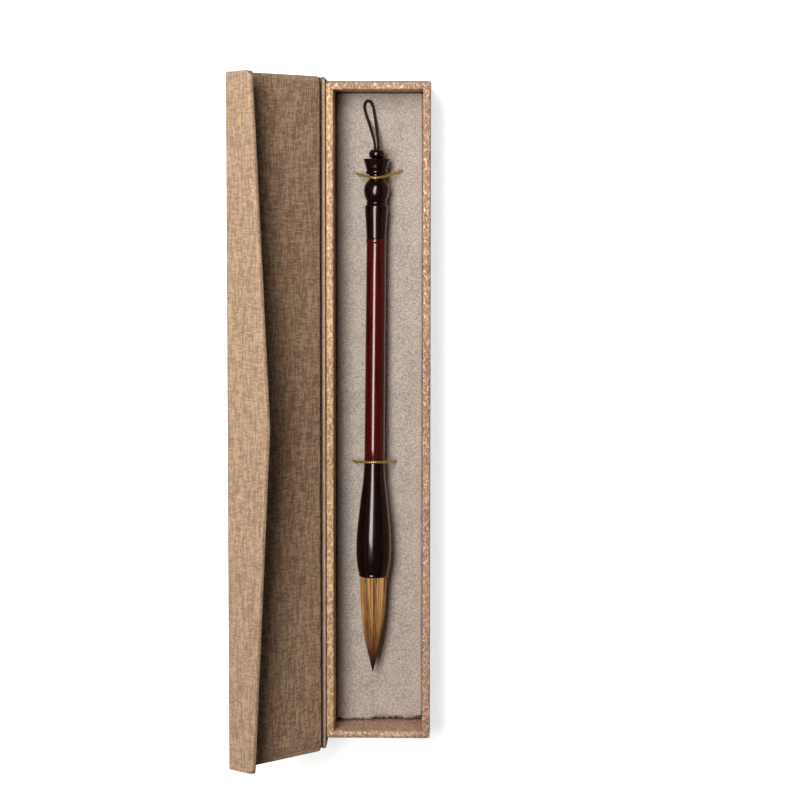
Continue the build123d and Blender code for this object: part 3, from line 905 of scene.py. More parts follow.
def add_piece(
    shape: Shape,
    name: str,
    finish: Finish,
    place: Matrix | None = None,
    body: str | None = None,
    nodes: Sequence[str] = (),
    smooth: float = 40.0,
) -> Object:
    """Set a finished shape down in the frame as a named piece.

    Args:
        shape: The shape, in its own millimetres.
        name: The piece's name.
        finish: What it is finished with.
        place: From its own millimetres to the box's.
        body: The body that it rides on, or None where it is blended later.
        nodes: The plain solids that it stands for.
        smooth: Edges sharper than this many degrees stay sharp.

    Returns:
        The piece.
    """
    bmesh.ops.transform(shape, matrix=Matrix.Scale(MM, 4) @ (place or Matrix()), verts=shape.verts)
    bmesh.ops.recalc_face_normals(shape, faces=shape.faces)
    mesh = bpy.data.meshes.new(name)
    shape.to_mesh(mesh)
    shape.free()
    mesh.shade_smooth()
    mesh.set_sharp_from_angle(angle=math.radians(smooth))
    piece = bpy.data.objects.new(name, mesh)
    bpy.context.scene.collection.objects.link(piece)
    mesh.materials.append(finish.material())
    if body:
        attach(piece, body)
    if nodes:
        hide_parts(*nodes)
    LOG.info("%s: %d faces, on %s", name, len(mesh.polygons), body or "a fold")
    return piece


def add_board(
    name: str, node: str, low: Sequence[float], high: Sequence[float], body: str = "box",
    place: Matrix | None = None,
) -> None:
    """Add a greyboard core inside its covering.

    Args:
        name: The board's name.
        node: The plain solid that it stands for.
        low: Its lowest corner.
        high: Its highest corner.
        body: The moving part that it belongs to.
        place: From its own millimetres to the box's.
    """
    add_piece(slab(low, high, BOARD_EDGE, 1), name, GREYBOARD, place, body, (node,))


def dress_node(name: str, finish: Finish) -> None:
    """Give a plain solid that stays its finish.

    Args:
        name: The solid's node.
        finish: What it is finished with.
    """
    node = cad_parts[name]
    for holder in node.material_slots:
        holder.material = finish.material()
    LOG.info("%s: %s", name, finish.name)


def spline_points(points: Sequence[Vector], steps: int = 14) -> list[Vector]:
    """Points along a smooth curve that a few control points shape.

    Args:
        points: The control points, in millimetres.
        steps: Points for each control point.

    Returns:
        The curve's own points, in millimetres.
    """
    curve = bpy.data.curves.new("route", "CURVE")
    curve.dimensions = "3D"
    curve.resolution_u = steps
    spline = curve.splines.new("NURBS")
    spline.points.add(len(points) - 1)
    for knot, point in zip(spline.points, points):
        knot.co = (*(point * MM), 1.0)
    spline.order_u = 3
    spline.use_endpoint_u = True
    route = bpy.data.objects.new("route", curve)
    line = bpy.data.meshes.new_from_object(route)
    found = [vert.co / MM for vert in line.vertices]
    bpy.data.objects.remove(route)
    bpy.data.curves.remove(curve)
    bpy.data.meshes.remove(line)
    return found


def frames_along(path: Sequence[Vector]) -> list[Matrix]:
    """Direction frames along a path, which turn no more than the path does.

    Args:
        path: The points of the path.

    Returns:
        A frame at each point, its Z along the path.
    """
    frames = []
    side = None
    for i, point in enumerate(path):
        ahead = (path[min(i + 1, len(path) - 1)] - path[max(i - 1, 0)]).normalized()
        if side is None:
            side = ahead.orthogonal().normalized()
        side = (side - ahead * side.dot(ahead)).normalized()
        turn = Matrix((side, ahead.cross(side), ahead)).transposed().to_4x4()
        frames.append(Matrix.Translation(point) @ turn)
    return frames


def add_tube(
    shape: Shape, path: Sequence[Vector], radii: Callable[[float], float], sides: int, tone: float
) -> None:
    """Draw a closed tube along a path, and note how far along it each part is.

    Args:
        shape: What the tube is added to.
        path: The points that it follows.
        radii: Its radius, from 0 at the path's start to 1 at its end.
        sides: Faces round it.
        tone: A number that tells this tube from its neighbours.
    """
    tube = bmesh.new()
    along, toned = tube.verts.layers.float.new("along"), tube.verts.layers.float.new("tone")
    frames = frames_along(path)
    ring = bmesh.ops.create_circle(tube, segments=sides, radius=1.0, cap_ends=True)["verts"]
    edges = list(ring[0].link_faces[0].edges)
    run, last = 0.0, Matrix()
    for i, place in enumerate(frames):
        if i:
            run += (path[i] - path[i - 1]).length
            grown = bmesh.ops.extrude_edge_only(tube, edges=edges)["geom"]
            ring = only(grown, bmesh.types.BMVert)
            edges = [edge for edge in only(grown, bmesh.types.BMEdge) if edge.is_boundary]
        wanted = place @ Matrix.Scale(max(radii(i / (len(frames) - 1)), 0.01), 4)
        bmesh.ops.transform(tube, matrix=wanted @ last.inverted(), verts=ring)
        last = wanted
        for vert in ring:
            vert[along], vert[toned] = run, tone
    bmesh.ops.contextual_create(tube, geom=edges)
    spare = bpy.data.meshes.new("tube")
    tube.to_mesh(spare)
    tube.free()
    shape.from_mesh(spare)
    bpy.data.meshes.remove(spare)


# ---------------------------------------------------------------- studio


@dataclass
class Studio:
    """The camera, the pale floor and the soft light."""

    eye: tuple[float, float, float] = (0.0333, 0.1033, 1.2300)
    tilt: tuple[float, float, float] = (-4.532, 0.988, 0.054)
    lens: float = 103.5
    floor_half: float = 3.0
    floor_glow: float = 0.72
    sky: float = 0.04

    def build(self) -> None:
        """Set up the studio."""
        scene = bpy.context.scene
        view = bpy.data.cameras.new("camera")
        view.lens = self.lens
        view.sensor_width = 36.0
        view.clip_start = 0.05
        camera = bpy.data.objects.new("camera", view)
        camera.location = self.eye
        camera.rotation_euler = [math.radians(a) for a in self.tilt]
        scene.collection.objects.link(camera)
        scene.camera = camera
        scene.view_settings.view_transform = "Standard"
        scene.view_settings.look = "None"
        self.add_light(
            "key_light", place=(-0.226, 0.235, 0.86), size=(0.31, 0.78), power=9.9, tint=(1.0, 0.985, 0.965),
            turn=11.0,
        )
        world = bpy.data.worlds.new("studio")
        world.use_nodes = True
        Graph(world.node_tree).fill(
            world.node_tree.nodes["Background"], {"Color": (1.0, 1.0, 1.0, 1.0), "Strength": self.sky}
        )
        scene.world = world
        self.floor()

    def add_light(
        self, name: str, place: Sequence[float], size: tuple[float, float], power: float,
        tint: Sequence[float], turn: float,
    ) -> None:
        """Hang a soft rectangular light that looks down at the box.

        Args:
            name: The light's name.
            place: Where it hangs, in metres.
            size: Its width and length, in metres.
            power: Its power, in watts.
            tint: Its colour.
            turn: How far it is turned about the vertical, in degrees.
        """
        lamp = bpy.data.lights.new(name, "AREA")
        lamp.shape = "RECTANGLE"
        lamp.size, lamp.size_y = size
        lamp.energy = power
        lamp.color = tint
        light = bpy.data.objects.new(name, lamp)
        light.location = place
        light.visible_camera = False
        light.rotation_euler = (0.0, 0.0, -math.radians(turn))
        bpy.context.scene.collection.objects.link(light)

    def floor(self) -> Object:
        """The pale sweep that the box stands on.

        Returns:
            The floor.
        """
        shape = bmesh.new()
        bmesh.ops.create_grid(shape, x_segments=8, y_segments=8, size=self.floor_half)
        mesh = bpy.data.meshes.new("studio_floor")
        shape.to_mesh(mesh)
        shape.free()
        floor = bpy.data.objects.new("studio_floor", mesh)
        bpy.context.scene.collection.objects.link(floor)
        pale = bpy.data.materials.new("pale sweep")
        pale.use_nodes = True
        graph = Graph(pale.node_tree)
        surface = graph.node("ShaderNodeTexCoord").outputs["Object"]
        rays = graph.node("ShaderNodeLightPath").outputs
        seen = graph.mix(graph.noise(surface, 3.0), (0.90, 0.90, 0.90, 1.0), (0.92, 0.92, 0.92, 1.0))
        graph.fill(pale.node_tree.nodes["Principled BSDF"], {
            "Base Color": graph.mix(rays["Is Diffuse Ray"], seen, (0.12, 0.12, 0.12, 1.0)),
            "Emission Color": graph.mix(rays["Is Camera Ray"], (0.0, 0.0, 0.0, 1.0), (1.0, 1.0, 1.0, 1.0)),
            "Emission Strength": self.floor_glow, "Roughness": 0.9,
        })
        mesh.materials.append(pale)
        return floor


# ---------------------------------------------------------------- cords


@dataclass
class Cords:
    """The brush's hanging loop and the two gold elastics that hold it."""

    loop_width: float = 1.5
    elastic_width: float = 1.5
    strands: int = 3
    strand_share: float = 0.35
    lay_share: float = 3.2
    bed_top: float = BED_TOP
    loop_route: tuple = (
        (-0.46, 133.284, 21.305), (-0.401, 140.884, 21.229), (-2.1, 147.0, 18.9), (-3.9, 152.6, 16.1),
        (-5.6, 157.4, 14.8), (-6.6, 161.1, 14.6), (-5.8, 164.3, 14.6), (-3.2, 164.5, 14.6),
        (-1.7, 161.1, 14.6), (-0.8, 155.2, 15.0), (0.1, 149.2, 17.1), (1.204, 141.591, 21.221),
        (1.14, 133.272, 21.305),
    )
    upper_route: tuple = (
        (-11.333, 126.629, 8.6), (-11.333, 126.629, 14.55), (-2.378, 124.029, 26.648),
        (2.545, 124.029, 26.648), (13.867, 128.0, 14.55), (13.867, 128.0, 8.6),
    )
    lower_route: tuple = (
        (-12.643, -25.709, 8.6), (-12.643, -25.709, 14.55), (-5.104, -24.709, 29.696),
        (3.491, -24.709, 29.696), (10.357, -25.709, 14.55), (10.357, -25.709, 8.6),
    )

    def build(self) -> None:
        """Lay the three cords."""
        self.lay_cord(
            "hanging_loop_cord", self.loop_route, self.loop_width, LOOP_THREAD, "hanging_loop"
        )
        for name, route in (("upper", self.upper_route), ("lower", self.lower_route)):
            self.lay_cord(
                f"{name}_gold_elastic", route, self.elastic_width, GOLD_THREAD, f"elastic_{name}",
            )

    def lay_cord(
        self, name: str, route: Sequence, width: float, finish: Thread, node: str
    ) -> None:
        """Twist strands along a route.

        Args:
            name: The cord's name.
            route: Its control points.
            width: Its width.
            finish: Its thread.
            node: The plain solid that it stands for.
        """
        path = spline_points([Vector(p) for p in route])
        frames = frames_along(path)
        shape = bmesh.new()
        strand = width * self.strand_share
        for turn in range(self.strands):
            run, points = 0.0, []
            for i, place in enumerate(frames):
                run += (path[i] - path[i - 1]).length if i else 0.0
                angle = math.tau * (run / (width * self.lay_share) + turn / self.strands)
                beside = Vector((math.cos(angle), math.sin(angle), 0.0)) * (width / 2 - strand)
                points.append(place @ beside)
            add_tube(shape, points, lambda share: strand, sides=8, tone=turn / self.strands)
        body = "brush" if node == "hanging_loop" else "box"
        cord = add_piece(shape, name, finish, body=body, nodes=(node,), smooth=60.0)
        if body == "box":
            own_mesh(cord)


# ---------------------------------------------------------------- case


@dataclass
class CaseCover:
    """The linen-covered base and spine, and the cloth that joins the spine to the lid."""

    half_length: float = HALF_LENGTH
    back: float = BACK
    front: float = FRONT
    skin: float = SKIN
    rim: float = RIM
    edge: float = 0.9
    strip_in: float = 0.75
    strip_short: float = 1.2
    strip_depth: float = 0.8
    board_in: float = 1.1
    board_short: float = 1.5
    board_down: float = 1.3

    def build(self) -> None:
        """Cover the base and the spine."""
        self.base()
        self.spine()
        self.fold()

    def base(self) -> None:
        """The covered base panel."""
        half = self.half_length
        cover = slab((self.back, -half, 0.0), (self.front, half, self.skin), self.edge)
        grid_up(cover, (1, -half, half, 12.0), (0, self.back, self.front, 10.0))
        ripple(cover, depth=0.05, wave=14.0, seed=3.1)
        lay_cloth(cover)
        add_piece(cover, "base_cover", LINEN, body="box", nodes=("base_linen",))
        dress_node("base_board", GREYBOARD)

    def spine(self) -> None:
        """The covered spine, its board and the strip that is turned in over its top, its linen painted lighter
        for the light on it.
        """
        half, inner = self.half_length, self.back + self.skin
        cover = slab((self.back, -half, self.skin / 2), (inner - 0.15, half, self.rim - 0.22), self.edge)
        grid_up(cover, (1, -half, half, 8.0), (2, self.skin, self.rim, 7.0))
        ripple(cover, depth=0.12, wave=11.0, seed=5.2)
        lay_cloth(cover)
        add_piece(cover, "spine_cover", LINEN, body="box", nodes=("spine_linen",))
        strip_half = half - self.strip_short
        strip = slab(
            (self.back + self.strip_in, -strip_half, self.rim - self.strip_depth),
            (inner - CLOTH_THICKNESS, strip_half, self.rim), 0.45,
        )
        grid_up(strip, (1, -half, half, 5.0))
        ripple(strip, depth=0.03, wave=8.0, seed=2.4)
        lay_cloth(strip, start=5.0)
        # The strip's linen is painted lighter for the light on it.
        add_piece(strip, "spine_turned_edge", LIT_STRIP_LINEN, body="box")
        board_half = half - self.board_short
        add_board(
            "spine_board_core", "spine_board", (self.back + self.board_in, -board_half, self.skin),
            (inner - self.board_in, board_half, self.rim - self.board_down),
        )

    def fold(self) -> None:
        """The strip of cloth that bends between the spine and the lid."""
        outline = [
            BOX.point(self.back + 0.25, 0.0, self.rim - 9.0),
            BOX.point(self.back - 0.05, 0.0, self.rim - 4.0),
            BOX.point(self.back - 0.06, 0.0, self.rim - 0.3),
            BOX.point(self.back - 0.35, 0.0, self.rim + 1.1),
            LID.point(-0.5, 0.0, -0.9),
            LID.point(1.2, 0.0, -0.5),
            LID.point(5.0, 0.0, -0.48),
            LID.point(8.5, 0.0, -0.22),
        ]
        strip = cloth_strip(outline, self.half_length - FOLD_SHORT, CLOTH_THICKNESS)
        cloth = add_piece(strip, "lid_fold_cloth", LINEN, nodes=("lid_hinge_cloth",))
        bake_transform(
            cloth, "box", "lid",
            start=tuple(BOX.point(self.back, 0.0, self.rim - 0.2) * MM),
            end=tuple(LID.point(0.6, 0.0, -0.45) * MM),
        )


def cloth_strip(
    outline: Sequence[Vector], half_length: float, thickness: float, cuts: int = 44
) -> Shape:
    """A strip of cloth of one thickness that follows an outline across the box.

    Args:
        outline: The points of its outer face across the box.
        half_length: From the box's middle to the strip's ends.
        thickness: The cloth's thickness, to the outline's right.
        cuts: Faces along the strip.

    Returns:
        The strip.
    """
    line = spline_points(list(outline), 6)
    shape = bmesh.new()
    verts = [shape.verts.new((p.x, -half_length, p.z)) for p in line]
    edges = [shape.edges.new(pair) for pair in zip(verts, verts[1:])]
    for _ in range(cuts):
        grown = bmesh.ops.extrude_edge_only(shape, edges=edges)["geom"]
        moved = only(grown, bmesh.types.BMVert)
        edges = [edge for edge in only(grown, bmesh.types.BMEdge) if edge.is_boundary]
        edges = [edge for edge in edges if all(vert in moved for vert in edge.verts)]
        bmesh.ops.translate(shape, vec=(0.0, 2 * half_length / cuts, 0.0), verts=moved)
    cloth = shape.loops.layers.uv.new("cloth")
    runs = [0.0]
    for a, b in zip(line, line[1:]):
        runs.append(runs[-1] + (b - a).length)
    flat = [p.xz for p in line]
    for face in shape.faces:
        for loop in face.loops:
            nearest = min(range(len(line)), key=lambda i: (flat[i] - loop.vert.co.xz).length)
            loop[cloth].uv = (runs[nearest] * MM, loop.vert.co.y * MM)
    bmesh.ops.recalc_face_normals(shape, faces=shape.faces)
    bmesh.ops.solidify(shape, geom=shape.faces[:], thickness=thickness)
    return shape


# ---------------------------------------------------------------- lid


@dataclass
class Lid:
    """The linen-covered lid with its lining, its frayed edge and its paper label."""

    half_length: float = HALF_LENGTH
    start: float = 1.3
    end: float = 59.85
    outer: float = -0.45
    inner: float = 2.75
    edge: float = 1.2
    lining_start: float = 2.0
    lining_end: float = 57.35
    lining_half: float = 173.0
    lining_top: float = 3.05
    creased_along: tuple[float, float] = (157.0, 172.0)
    creased_to: float = 14.0
    fray_rows: tuple = ((88.0, -0.1), (70.0, 0.25), (46.0, 0.6))
    fray_gap: float = 2.4
    fray_ends: int = 260
    label_middle: tuple[float, float] = (35.35, 60.25)
    label_size: tuple[float, float] = (23.5, 125.5)
    label_lift: float = 0.25
    frame_margin: tuple[float, float] = (2.3, 3.0)
    frame_line: float = 0.28
    print_depth: float = 0.03
    print_lift: float = 0.02
    board_side: float = 1.0
    board_short: float = 1.4
    board_lift: float = 0.7
    sprig_up: float = 8.0
    seal_up: float = -51.5
    seal_square: float = 0.78
    seal_gap: float = 1.85
    stalk: tuple = (
        ((0.4, -30.0), (0.1, -18.0)), ((0.0, -17.2), (-0.2, -3.0)), ((-0.25, -2.2), (0.1, 11.0)),
        ((0.2, 11.8), (0.9, 23.0)), ((1.0, 23.8), (2.2, 33.0)),
    )
    leaves: tuple = (
        ((0.0, -2.6), (-6.6, -9.0)), ((0.0, -2.6), (-4.4, -13.2)), ((0.1, 11.4), (6.8, 4.6)),
        ((0.1, 11.4), (4.6, 0.6)), ((0.1, 11.4), (7.4, 9.6)), ((0.9, 23.4), (-5.6, 18.6)),
        ((0.9, 23.4), (-6.4, 24.0)), ((0.9, 23.4), (-3.2, 14.6)), ((2.2, 33.0), (6.6, 30.2)),
        ((2.2, 33.0), (4.2, 39.6)), ((2.2, 33.0), (-2.0, 37.8)),
    )

    def build(self) -> None:
        """Cover, line and label the lid."""
        half, lined = self.half_length, self.lining_half
        cover = slab((self.start, -half, self.outer), (self.end, half, self.inner), self.edge, 4)
        grid_up(cover, (1, -half, half, 6.0), (0, self.start, self.end, 6.0))
        ripple(cover, depth=0.06, wave=16.0, seed=1.3)
        lay_cloth(cover)
        add_piece(cover, "lid_cover", LINEN, LID.place, "lid", ("lid_linen",))
        lining = slab(
            (self.lining_start, -lined, self.inner - SUNK_IN_COVER), (self.lining_end, lined, self.lining_top),
            rounding=0.14, steps=2,
        )
        grid_up(
            lining, (1, -lined, lined, 4.0), (0, self.lining_start, self.lining_end, 4.0),
            (1, *self.creased_along, 0.9), (0, self.lining_start, self.creased_to, 0.9),
        )
        ripple(lining, depth=0.035, wave=9.0, seed=8.4)
        self.pucker(lining)
        lay_cloth(lining, start=3.3)
        add_piece(lining, "lid_lining_sheet", LINING, LID.place, "lid", ("lid_lining",))
        board_half = half - self.board_short
        add_board(
            "lid_board_core", "lid_board",
            (self.start + self.board_side, -board_half, self.outer + self.board_lift),
            (self.end - self.board_side, board_half, self.inner - SUNK_IN_COVER), "lid", LID.place,
        )
        self.fray()
        self.label()

    def pucker(self, shape: Shape) -> None:
        """Raise the small creases of the lining's corner beside the hinge.

        Args:
            shape: The lining, in the lid's own millimetres.
        """
        for vert in shape.verts:
            x, y, z = vert.co
            if z < self.inner:
                continue
            near = math.exp(-(((x - 6.0) / 4.2) ** 2) - (((y - 165.5) / 4.0) ** 2))
            fold = math.sin(y * 1.9 + x * 0.5) + 0.8 * noise.noise(Vector((x * 0.8, y * 0.8, 1.5)))
            vert.co.z += 0.11 * near * (fold - 0.9)

    def fray(self) -> None:
        """Loose threads along the lining's cut edge beside the hinge."""
        chance = random.Random(11)
        shape = bmesh.new()
        for row, (reach, inset) in enumerate(self.fray_rows):
            points = []
            along = -self.lining_half + 0.6
            while along < -self.lining_half + reach:
                across = self.lining_start + inset + chance.uniform(-0.16, 0.16)
                points.append(Vector((across, along, self.lining_top - chance.uniform(0.09, 0.2))))
                along += self.fray_gap
            add_tube(shape, points, lambda share: 0.14 * (1.05 - share), sides=5, tone=row * 0.37)
        for _ in range(self.fray_ends):
            along = -self.lining_half + 1.0 + (2.0 * self.lining_half - 2.0) * chance.random() ** 2.4
            reach = chance.uniform(0.35, 1.1)
            lean = chance.uniform(-0.8, 0.8)
            points = [
                Vector((self.lining_start + 0.5, along, self.lining_top - 0.1)),
                Vector((self.lining_start, along + lean * 0.3, self.lining_top - 0.06)),
                Vector((self.lining_start - reach * 0.6, along + lean * 0.7, self.lining_top - 0.14)),
                Vector((self.lining_start - reach, along + lean, self.lining_top - 0.3)),
            ]
            add_tube(shape, points, lambda share: 0.11 - 0.05 * share, sides=4, tone=chance.random())
        add_piece(shape, "lid_lining_fray", FRAYED_THREAD, LID.place, "lid", smooth=70.0)

    def label(self) -> None:
        """The label's frame line, a bamboo sprig and a plain square seal."""
        dress_node("label_card", LABEL_PAPER)
        line = bmesh.new()
        bmesh.ops.create_grid(line, x_segments=1, y_segments=1, size=1.0)
        half_w, half_l = (size / 2 - margin for size, margin in zip(self.label_size, self.frame_margin))
        bmesh.ops.scale(line, vec=(half_w, half_l, 1.0), verts=line.verts)
        bmesh.ops.inset_individual(line, faces=line.faces[:], thickness=self.frame_line, use_even_offset=True)
        middle = max(line.faces, key=lambda f: f.calc_area())
        bmesh.ops.delete(line, geom=[middle], context="FACES_ONLY")
        self.print_on(line, "label_frame_line", GREY_INK, 0.0)
        sprig = bmesh.new()
        for i, (foot, head) in enumerate(self.stalk):
            add_stroke(sprig, foot, head, 0.62 - 0.09 * i, 0.5 - 0.08 * i, False)
        for root, point in self.leaves:
            add_stroke(sprig, root, point, 0.9, 0.0, True)
        self.print_on(sprig, "label_bamboo_sprig", BLACK_INK, self.sprig_up)
        seal = bmesh.new()
        for column in (-1, 0, 1):
            for row in (-1, 0, 1):
                grown = bmesh.ops.create_grid(seal, x_segments=1, y_segments=1, size=self.seal_square)
                place = (column * self.seal_gap, row * self.seal_gap, 0.0)
                bmesh.ops.translate(seal, vec=place, verts=grown["verts"])
        self.print_on(seal, "label_plain_seal", RED_INK, self.seal_up)

    def print_on(self, shape: Shape, name: str, finish: Finish, up: float) -> None:
        """Lay a thin print on the label's face.

        Args:
            shape: The print, flat and centred.
            name: The print's name.
            finish: Its ink.
            up: How far towards the head of the label its middle lies.
        """
        bmesh.ops.recalc_face_normals(shape, faces=shape.faces)
        bmesh.ops.solidify(shape, geom=shape.faces[:], thickness=self.print_depth)
        lowest = min(v.co.z for v in shape.verts)
        across, along = self.label_middle
        face = self.outer - self.label_lift - self.print_lift
        bmesh.ops.translate(shape, vec=(across, along + up, face - lowest), verts=shape.verts)
        add_piece(shape, name, finish, LID.place, "lid")


def add_stroke(
    shape: Shape, start: Sequence[float], end: Sequence[float], width: float, tail: float, leaf: bool
) -> None:
    """Add one brush stroke to a flat print.

    Args:
        shape: The print.
        start: Where the stroke starts.
        end: Where it ends.
        width: Its half width at its widest.
        tail: Its half width at its end.
        leaf: Whether it swells in its middle as a leaf does.
    """
    a, b = Vector((*start, 0.0)), Vector((*end, 0.0))
    side = (b - a).cross(Vector((0.0, 0.0, 1.0))).normalized()
    bend = side * (b - a).length * (0.07 if leaf else 0.01)
    shares = (0.0, 0.18, 0.4, 0.65, 0.85, 1.0)
    widths = (0.12, 0.75, 1.0, 0.8, 0.42, 0.03) if leaf else (1.1, 0.9, 0.85, 0.85, 0.9, 1.05)
    rows = []
    for share, wide in zip(shares, widths):
        middle = a.lerp(b, share) + bend * 4 * share * (1 - share)
        half = wide * width if leaf else wide * (width + (tail - width) * share)
        rows.append([shape.verts.new(middle - side * half), shape.verts.new(middle + side * half)])
    for first, second in zip(rows, rows[1:]):
        shape.faces.new((first[0], first[1], second[1], second[0]))


# ---------------------------------------------------------------- flap


@dataclass
class Flap:
    """The front flap with its shallow point, its lining, and the cloth that joins it to the lid."""

    half_length: float = HALF_LENGTH
    root: float = 5.0
    side: float = 16.2
    tip: float = 28.3
    outer: float = -0.5
    inner: float = 2.7
    edge: float = 1.1
    corner: float = 3.0
    tip_round: float = 7.0
    lining_margin: float = 2.5
    lining_rise: float = 0.3
    cloth_start: float = 61.6
    lining_cloth_start: float = 70.0

    def build(self) -> None:
        """Cover and line the flap, and fold the cloth round its corner."""
        half = self.half_length
        cover = self.blank(0.0, self.outer, self.inner)
        round_off(cover, [e for e in cover.edges if abs(e.calc_face_angle(0.0)) > 0.5], self.edge, 4)
        grid_up(cover, (1, -half, half, 6.0), (0, self.root, self.tip, 5.0))
        ripple(cover, depth=0.05, wave=14.0, seed=2.2)
        lay_cloth(cover, start=self.cloth_start)
        add_piece(cover, "flap_cover", LINEN, FLAP.place, "flap", ("flap_linen",))
        lining = self.blank(self.lining_margin, self.inner - SUNK_IN_COVER, self.inner + self.lining_rise)
        grid_up(lining, (1, -half, half, 5.0), (0, self.root, self.tip, 5.0))
        ripple(lining, depth=0.035, wave=9.0, seed=6.1)
        lay_cloth(lining, start=self.lining_cloth_start)
        add_piece(lining, "flap_lining_sheet", LINING, FLAP.place, "flap", ("flap_lining",))
        dress_node("flap_board", GREYBOARD)
        dress_node("flap_magnet", NICKEL)
        self.fold()

    def blank(self, margin: float, low: float, high: float) -> Shape:
        """The flap's outline as a flat block.

        Args:
            margin: How far inside the flap's covered outline it is cut.
            low: Its outer face.
            high: Its inner face.

        Returns:
            The block.
        """
        shape = bmesh.new()
        half = self.half_length - margin
        outline = (
            (self.root + margin, -half), (self.side - margin, -half), (self.tip - margin, 0.0),
            (self.side - margin, half), (self.root + margin, half),
        )
        corners = [shape.verts.new((x, y, low)) for x, y in outline]
        shape.faces.new(corners)
        round_off(shape, [corners[1], corners[3]], self.corner, 5, "VERTICES")
        point = [v for v in shape.verts if abs(v.co.y) < 0.001 and v.co.x > self.side]
        round_off(shape, point, self.tip_round, 5, "VERTICES")
        grown = bmesh.ops.extrude_face_region(shape, geom=shape.faces[:])["geom"]
        bmesh.ops.translate(shape, vec=(0.0, 0.0, high - low), verts=only(grown, bmesh.types.BMVert))
        bmesh.ops.recalc_face_normals(shape, faces=shape.faces)
        return shape

    def fold(self) -> None:
        """The cloth round the corner between the lid's edge and the flap's."""
        outline = [
            LID.point(52.5, 0.0, -0.22),
            LID.point(57.0, 0.0, -0.48),
            LID.point(60.2, 0.0, -0.5),
            LID.point(61.75, 0.0, -0.55),
            FLAP.point(0.6, 0.0, -0.62),
            FLAP.point(3.0, 0.0, -0.53),
            FLAP.point(6.5, 0.0, -0.52),
            FLAP.point(10.5, 0.0, -0.26),
        ]
        strip = cloth_strip(outline, self.half_length - FOLD_SHORT, -CLOTH_THICKNESS)
        cloth = add_piece(strip, "flap_fold_cloth", LINEN, nodes=("flap_hinge_cloth",))
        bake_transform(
            cloth, "lid", "flap",
            start=tuple(LID.point(60.0, 0.0, -0.45) * MM), end=tuple(FLAP.point(4.5, 0.0, -0.5) * MM),
        )


# ---------------------------------------------------------------- tray


@dataclass
class Tray:
    """The tray's four walls in embossed paper, mitred at the corners."""

    left: float = -25.7
    right: float = FRONT
    foot: float = -170.0
    head: float = 173.0
    low: float = 2.85
    rim: float = RIM
    wall: float = 4.0
    edge: float = 0.7
    foot_edge: float = 1.7
    inset: float = 1.1
    rim_short: float = 0.08

    def build(self) -> None:
        """Wrap the four walls."""
        walls = (
            # The left wall wears a copy of the paper painted with the lamp's golden reflection.
            ("left", REFLECTION_GOLD_PAPER, (self.left + 0.15, self.foot), (self.left + self.wall, self.head)),
            ("right", GILT_PAPER, (self.right - self.wall, self.foot), (self.right, self.head)),
            # The foot wall wears a copy of the paper painted brighter for the light on it.
            ("foot", FOOT_LIT_PAPER, (self.left, self.foot), (self.right, self.foot + self.wall)),
            ("head", GILT_PAPER, (self.left, self.head - self.wall), (self.right, self.head)),
        )
        for seed, (name, finish, low, high) in enumerate(walls):
            rounding = self.foot_edge if name == "foot" else self.edge
            shape = slab((*low, self.low), (*high, self.rim - self.rim_short), rounding)
            self.mitre(shape, name)
            grid_up(shape, (1, low[1], high[1], 3.5), (0, low[0], high[0], 3.5), (2, self.low, self.rim, 6.0))
            ripple(shape, depth=0.13, wave=2.6, seed=4.0 + seed)
            nodes = (f"tray_paper_{name}",)
            add_piece(shape, f"tray_wrap_{name}", finish, body="box", nodes=nodes, smooth=50.0)
            add_board(
                f"tray_board_{name}", f"tray_wall_{name}",
                (low[0] + self.inset, low[1] + self.inset, self.low + 0.1),
                (high[0] - self.inset, high[1] - self.inset, self.rim - self.inset),
            )
        dress_node("tray_floor", GREYBOARD)
        dress_node("tray_magnet", NICKEL)

    def mitre(self, shape: Shape, name: str) -> None:
        """Cut a wall's ends on the slant where the paper is folded.

        Args:
            shape: The wall.
            name: Which wall it is.
        """
        places = {
            "left": ((self.left, self.foot), (self.left, self.head)),
            "right": ((self.right, self.foot), (self.right, self.head)),
            "foot": ((self.left, self.foot), (self.right, self.foot)),
            "head": ((self.left, self.head), (self.right, self.head)),
        }[name]
        for x, y in places:
            inward_x, inward_y = (1.0 if x == self.left else -1.0), (1.0 if y == self.foot else -1.0)
            normal = (inward_x, -inward_y, 0.0) if name in ("left", "right") else (-inward_x, inward_y, 0.0)
            cut = bmesh.ops.bisect_plane(
                shape, geom=whole(shape), plane_co=(x, y, 0.0), plane_no=normal, clear_outer=True
            )
            bmesh.ops.holes_fill(shape, edges=only(cut["geom_cut"], bmesh.types.BMEdge))


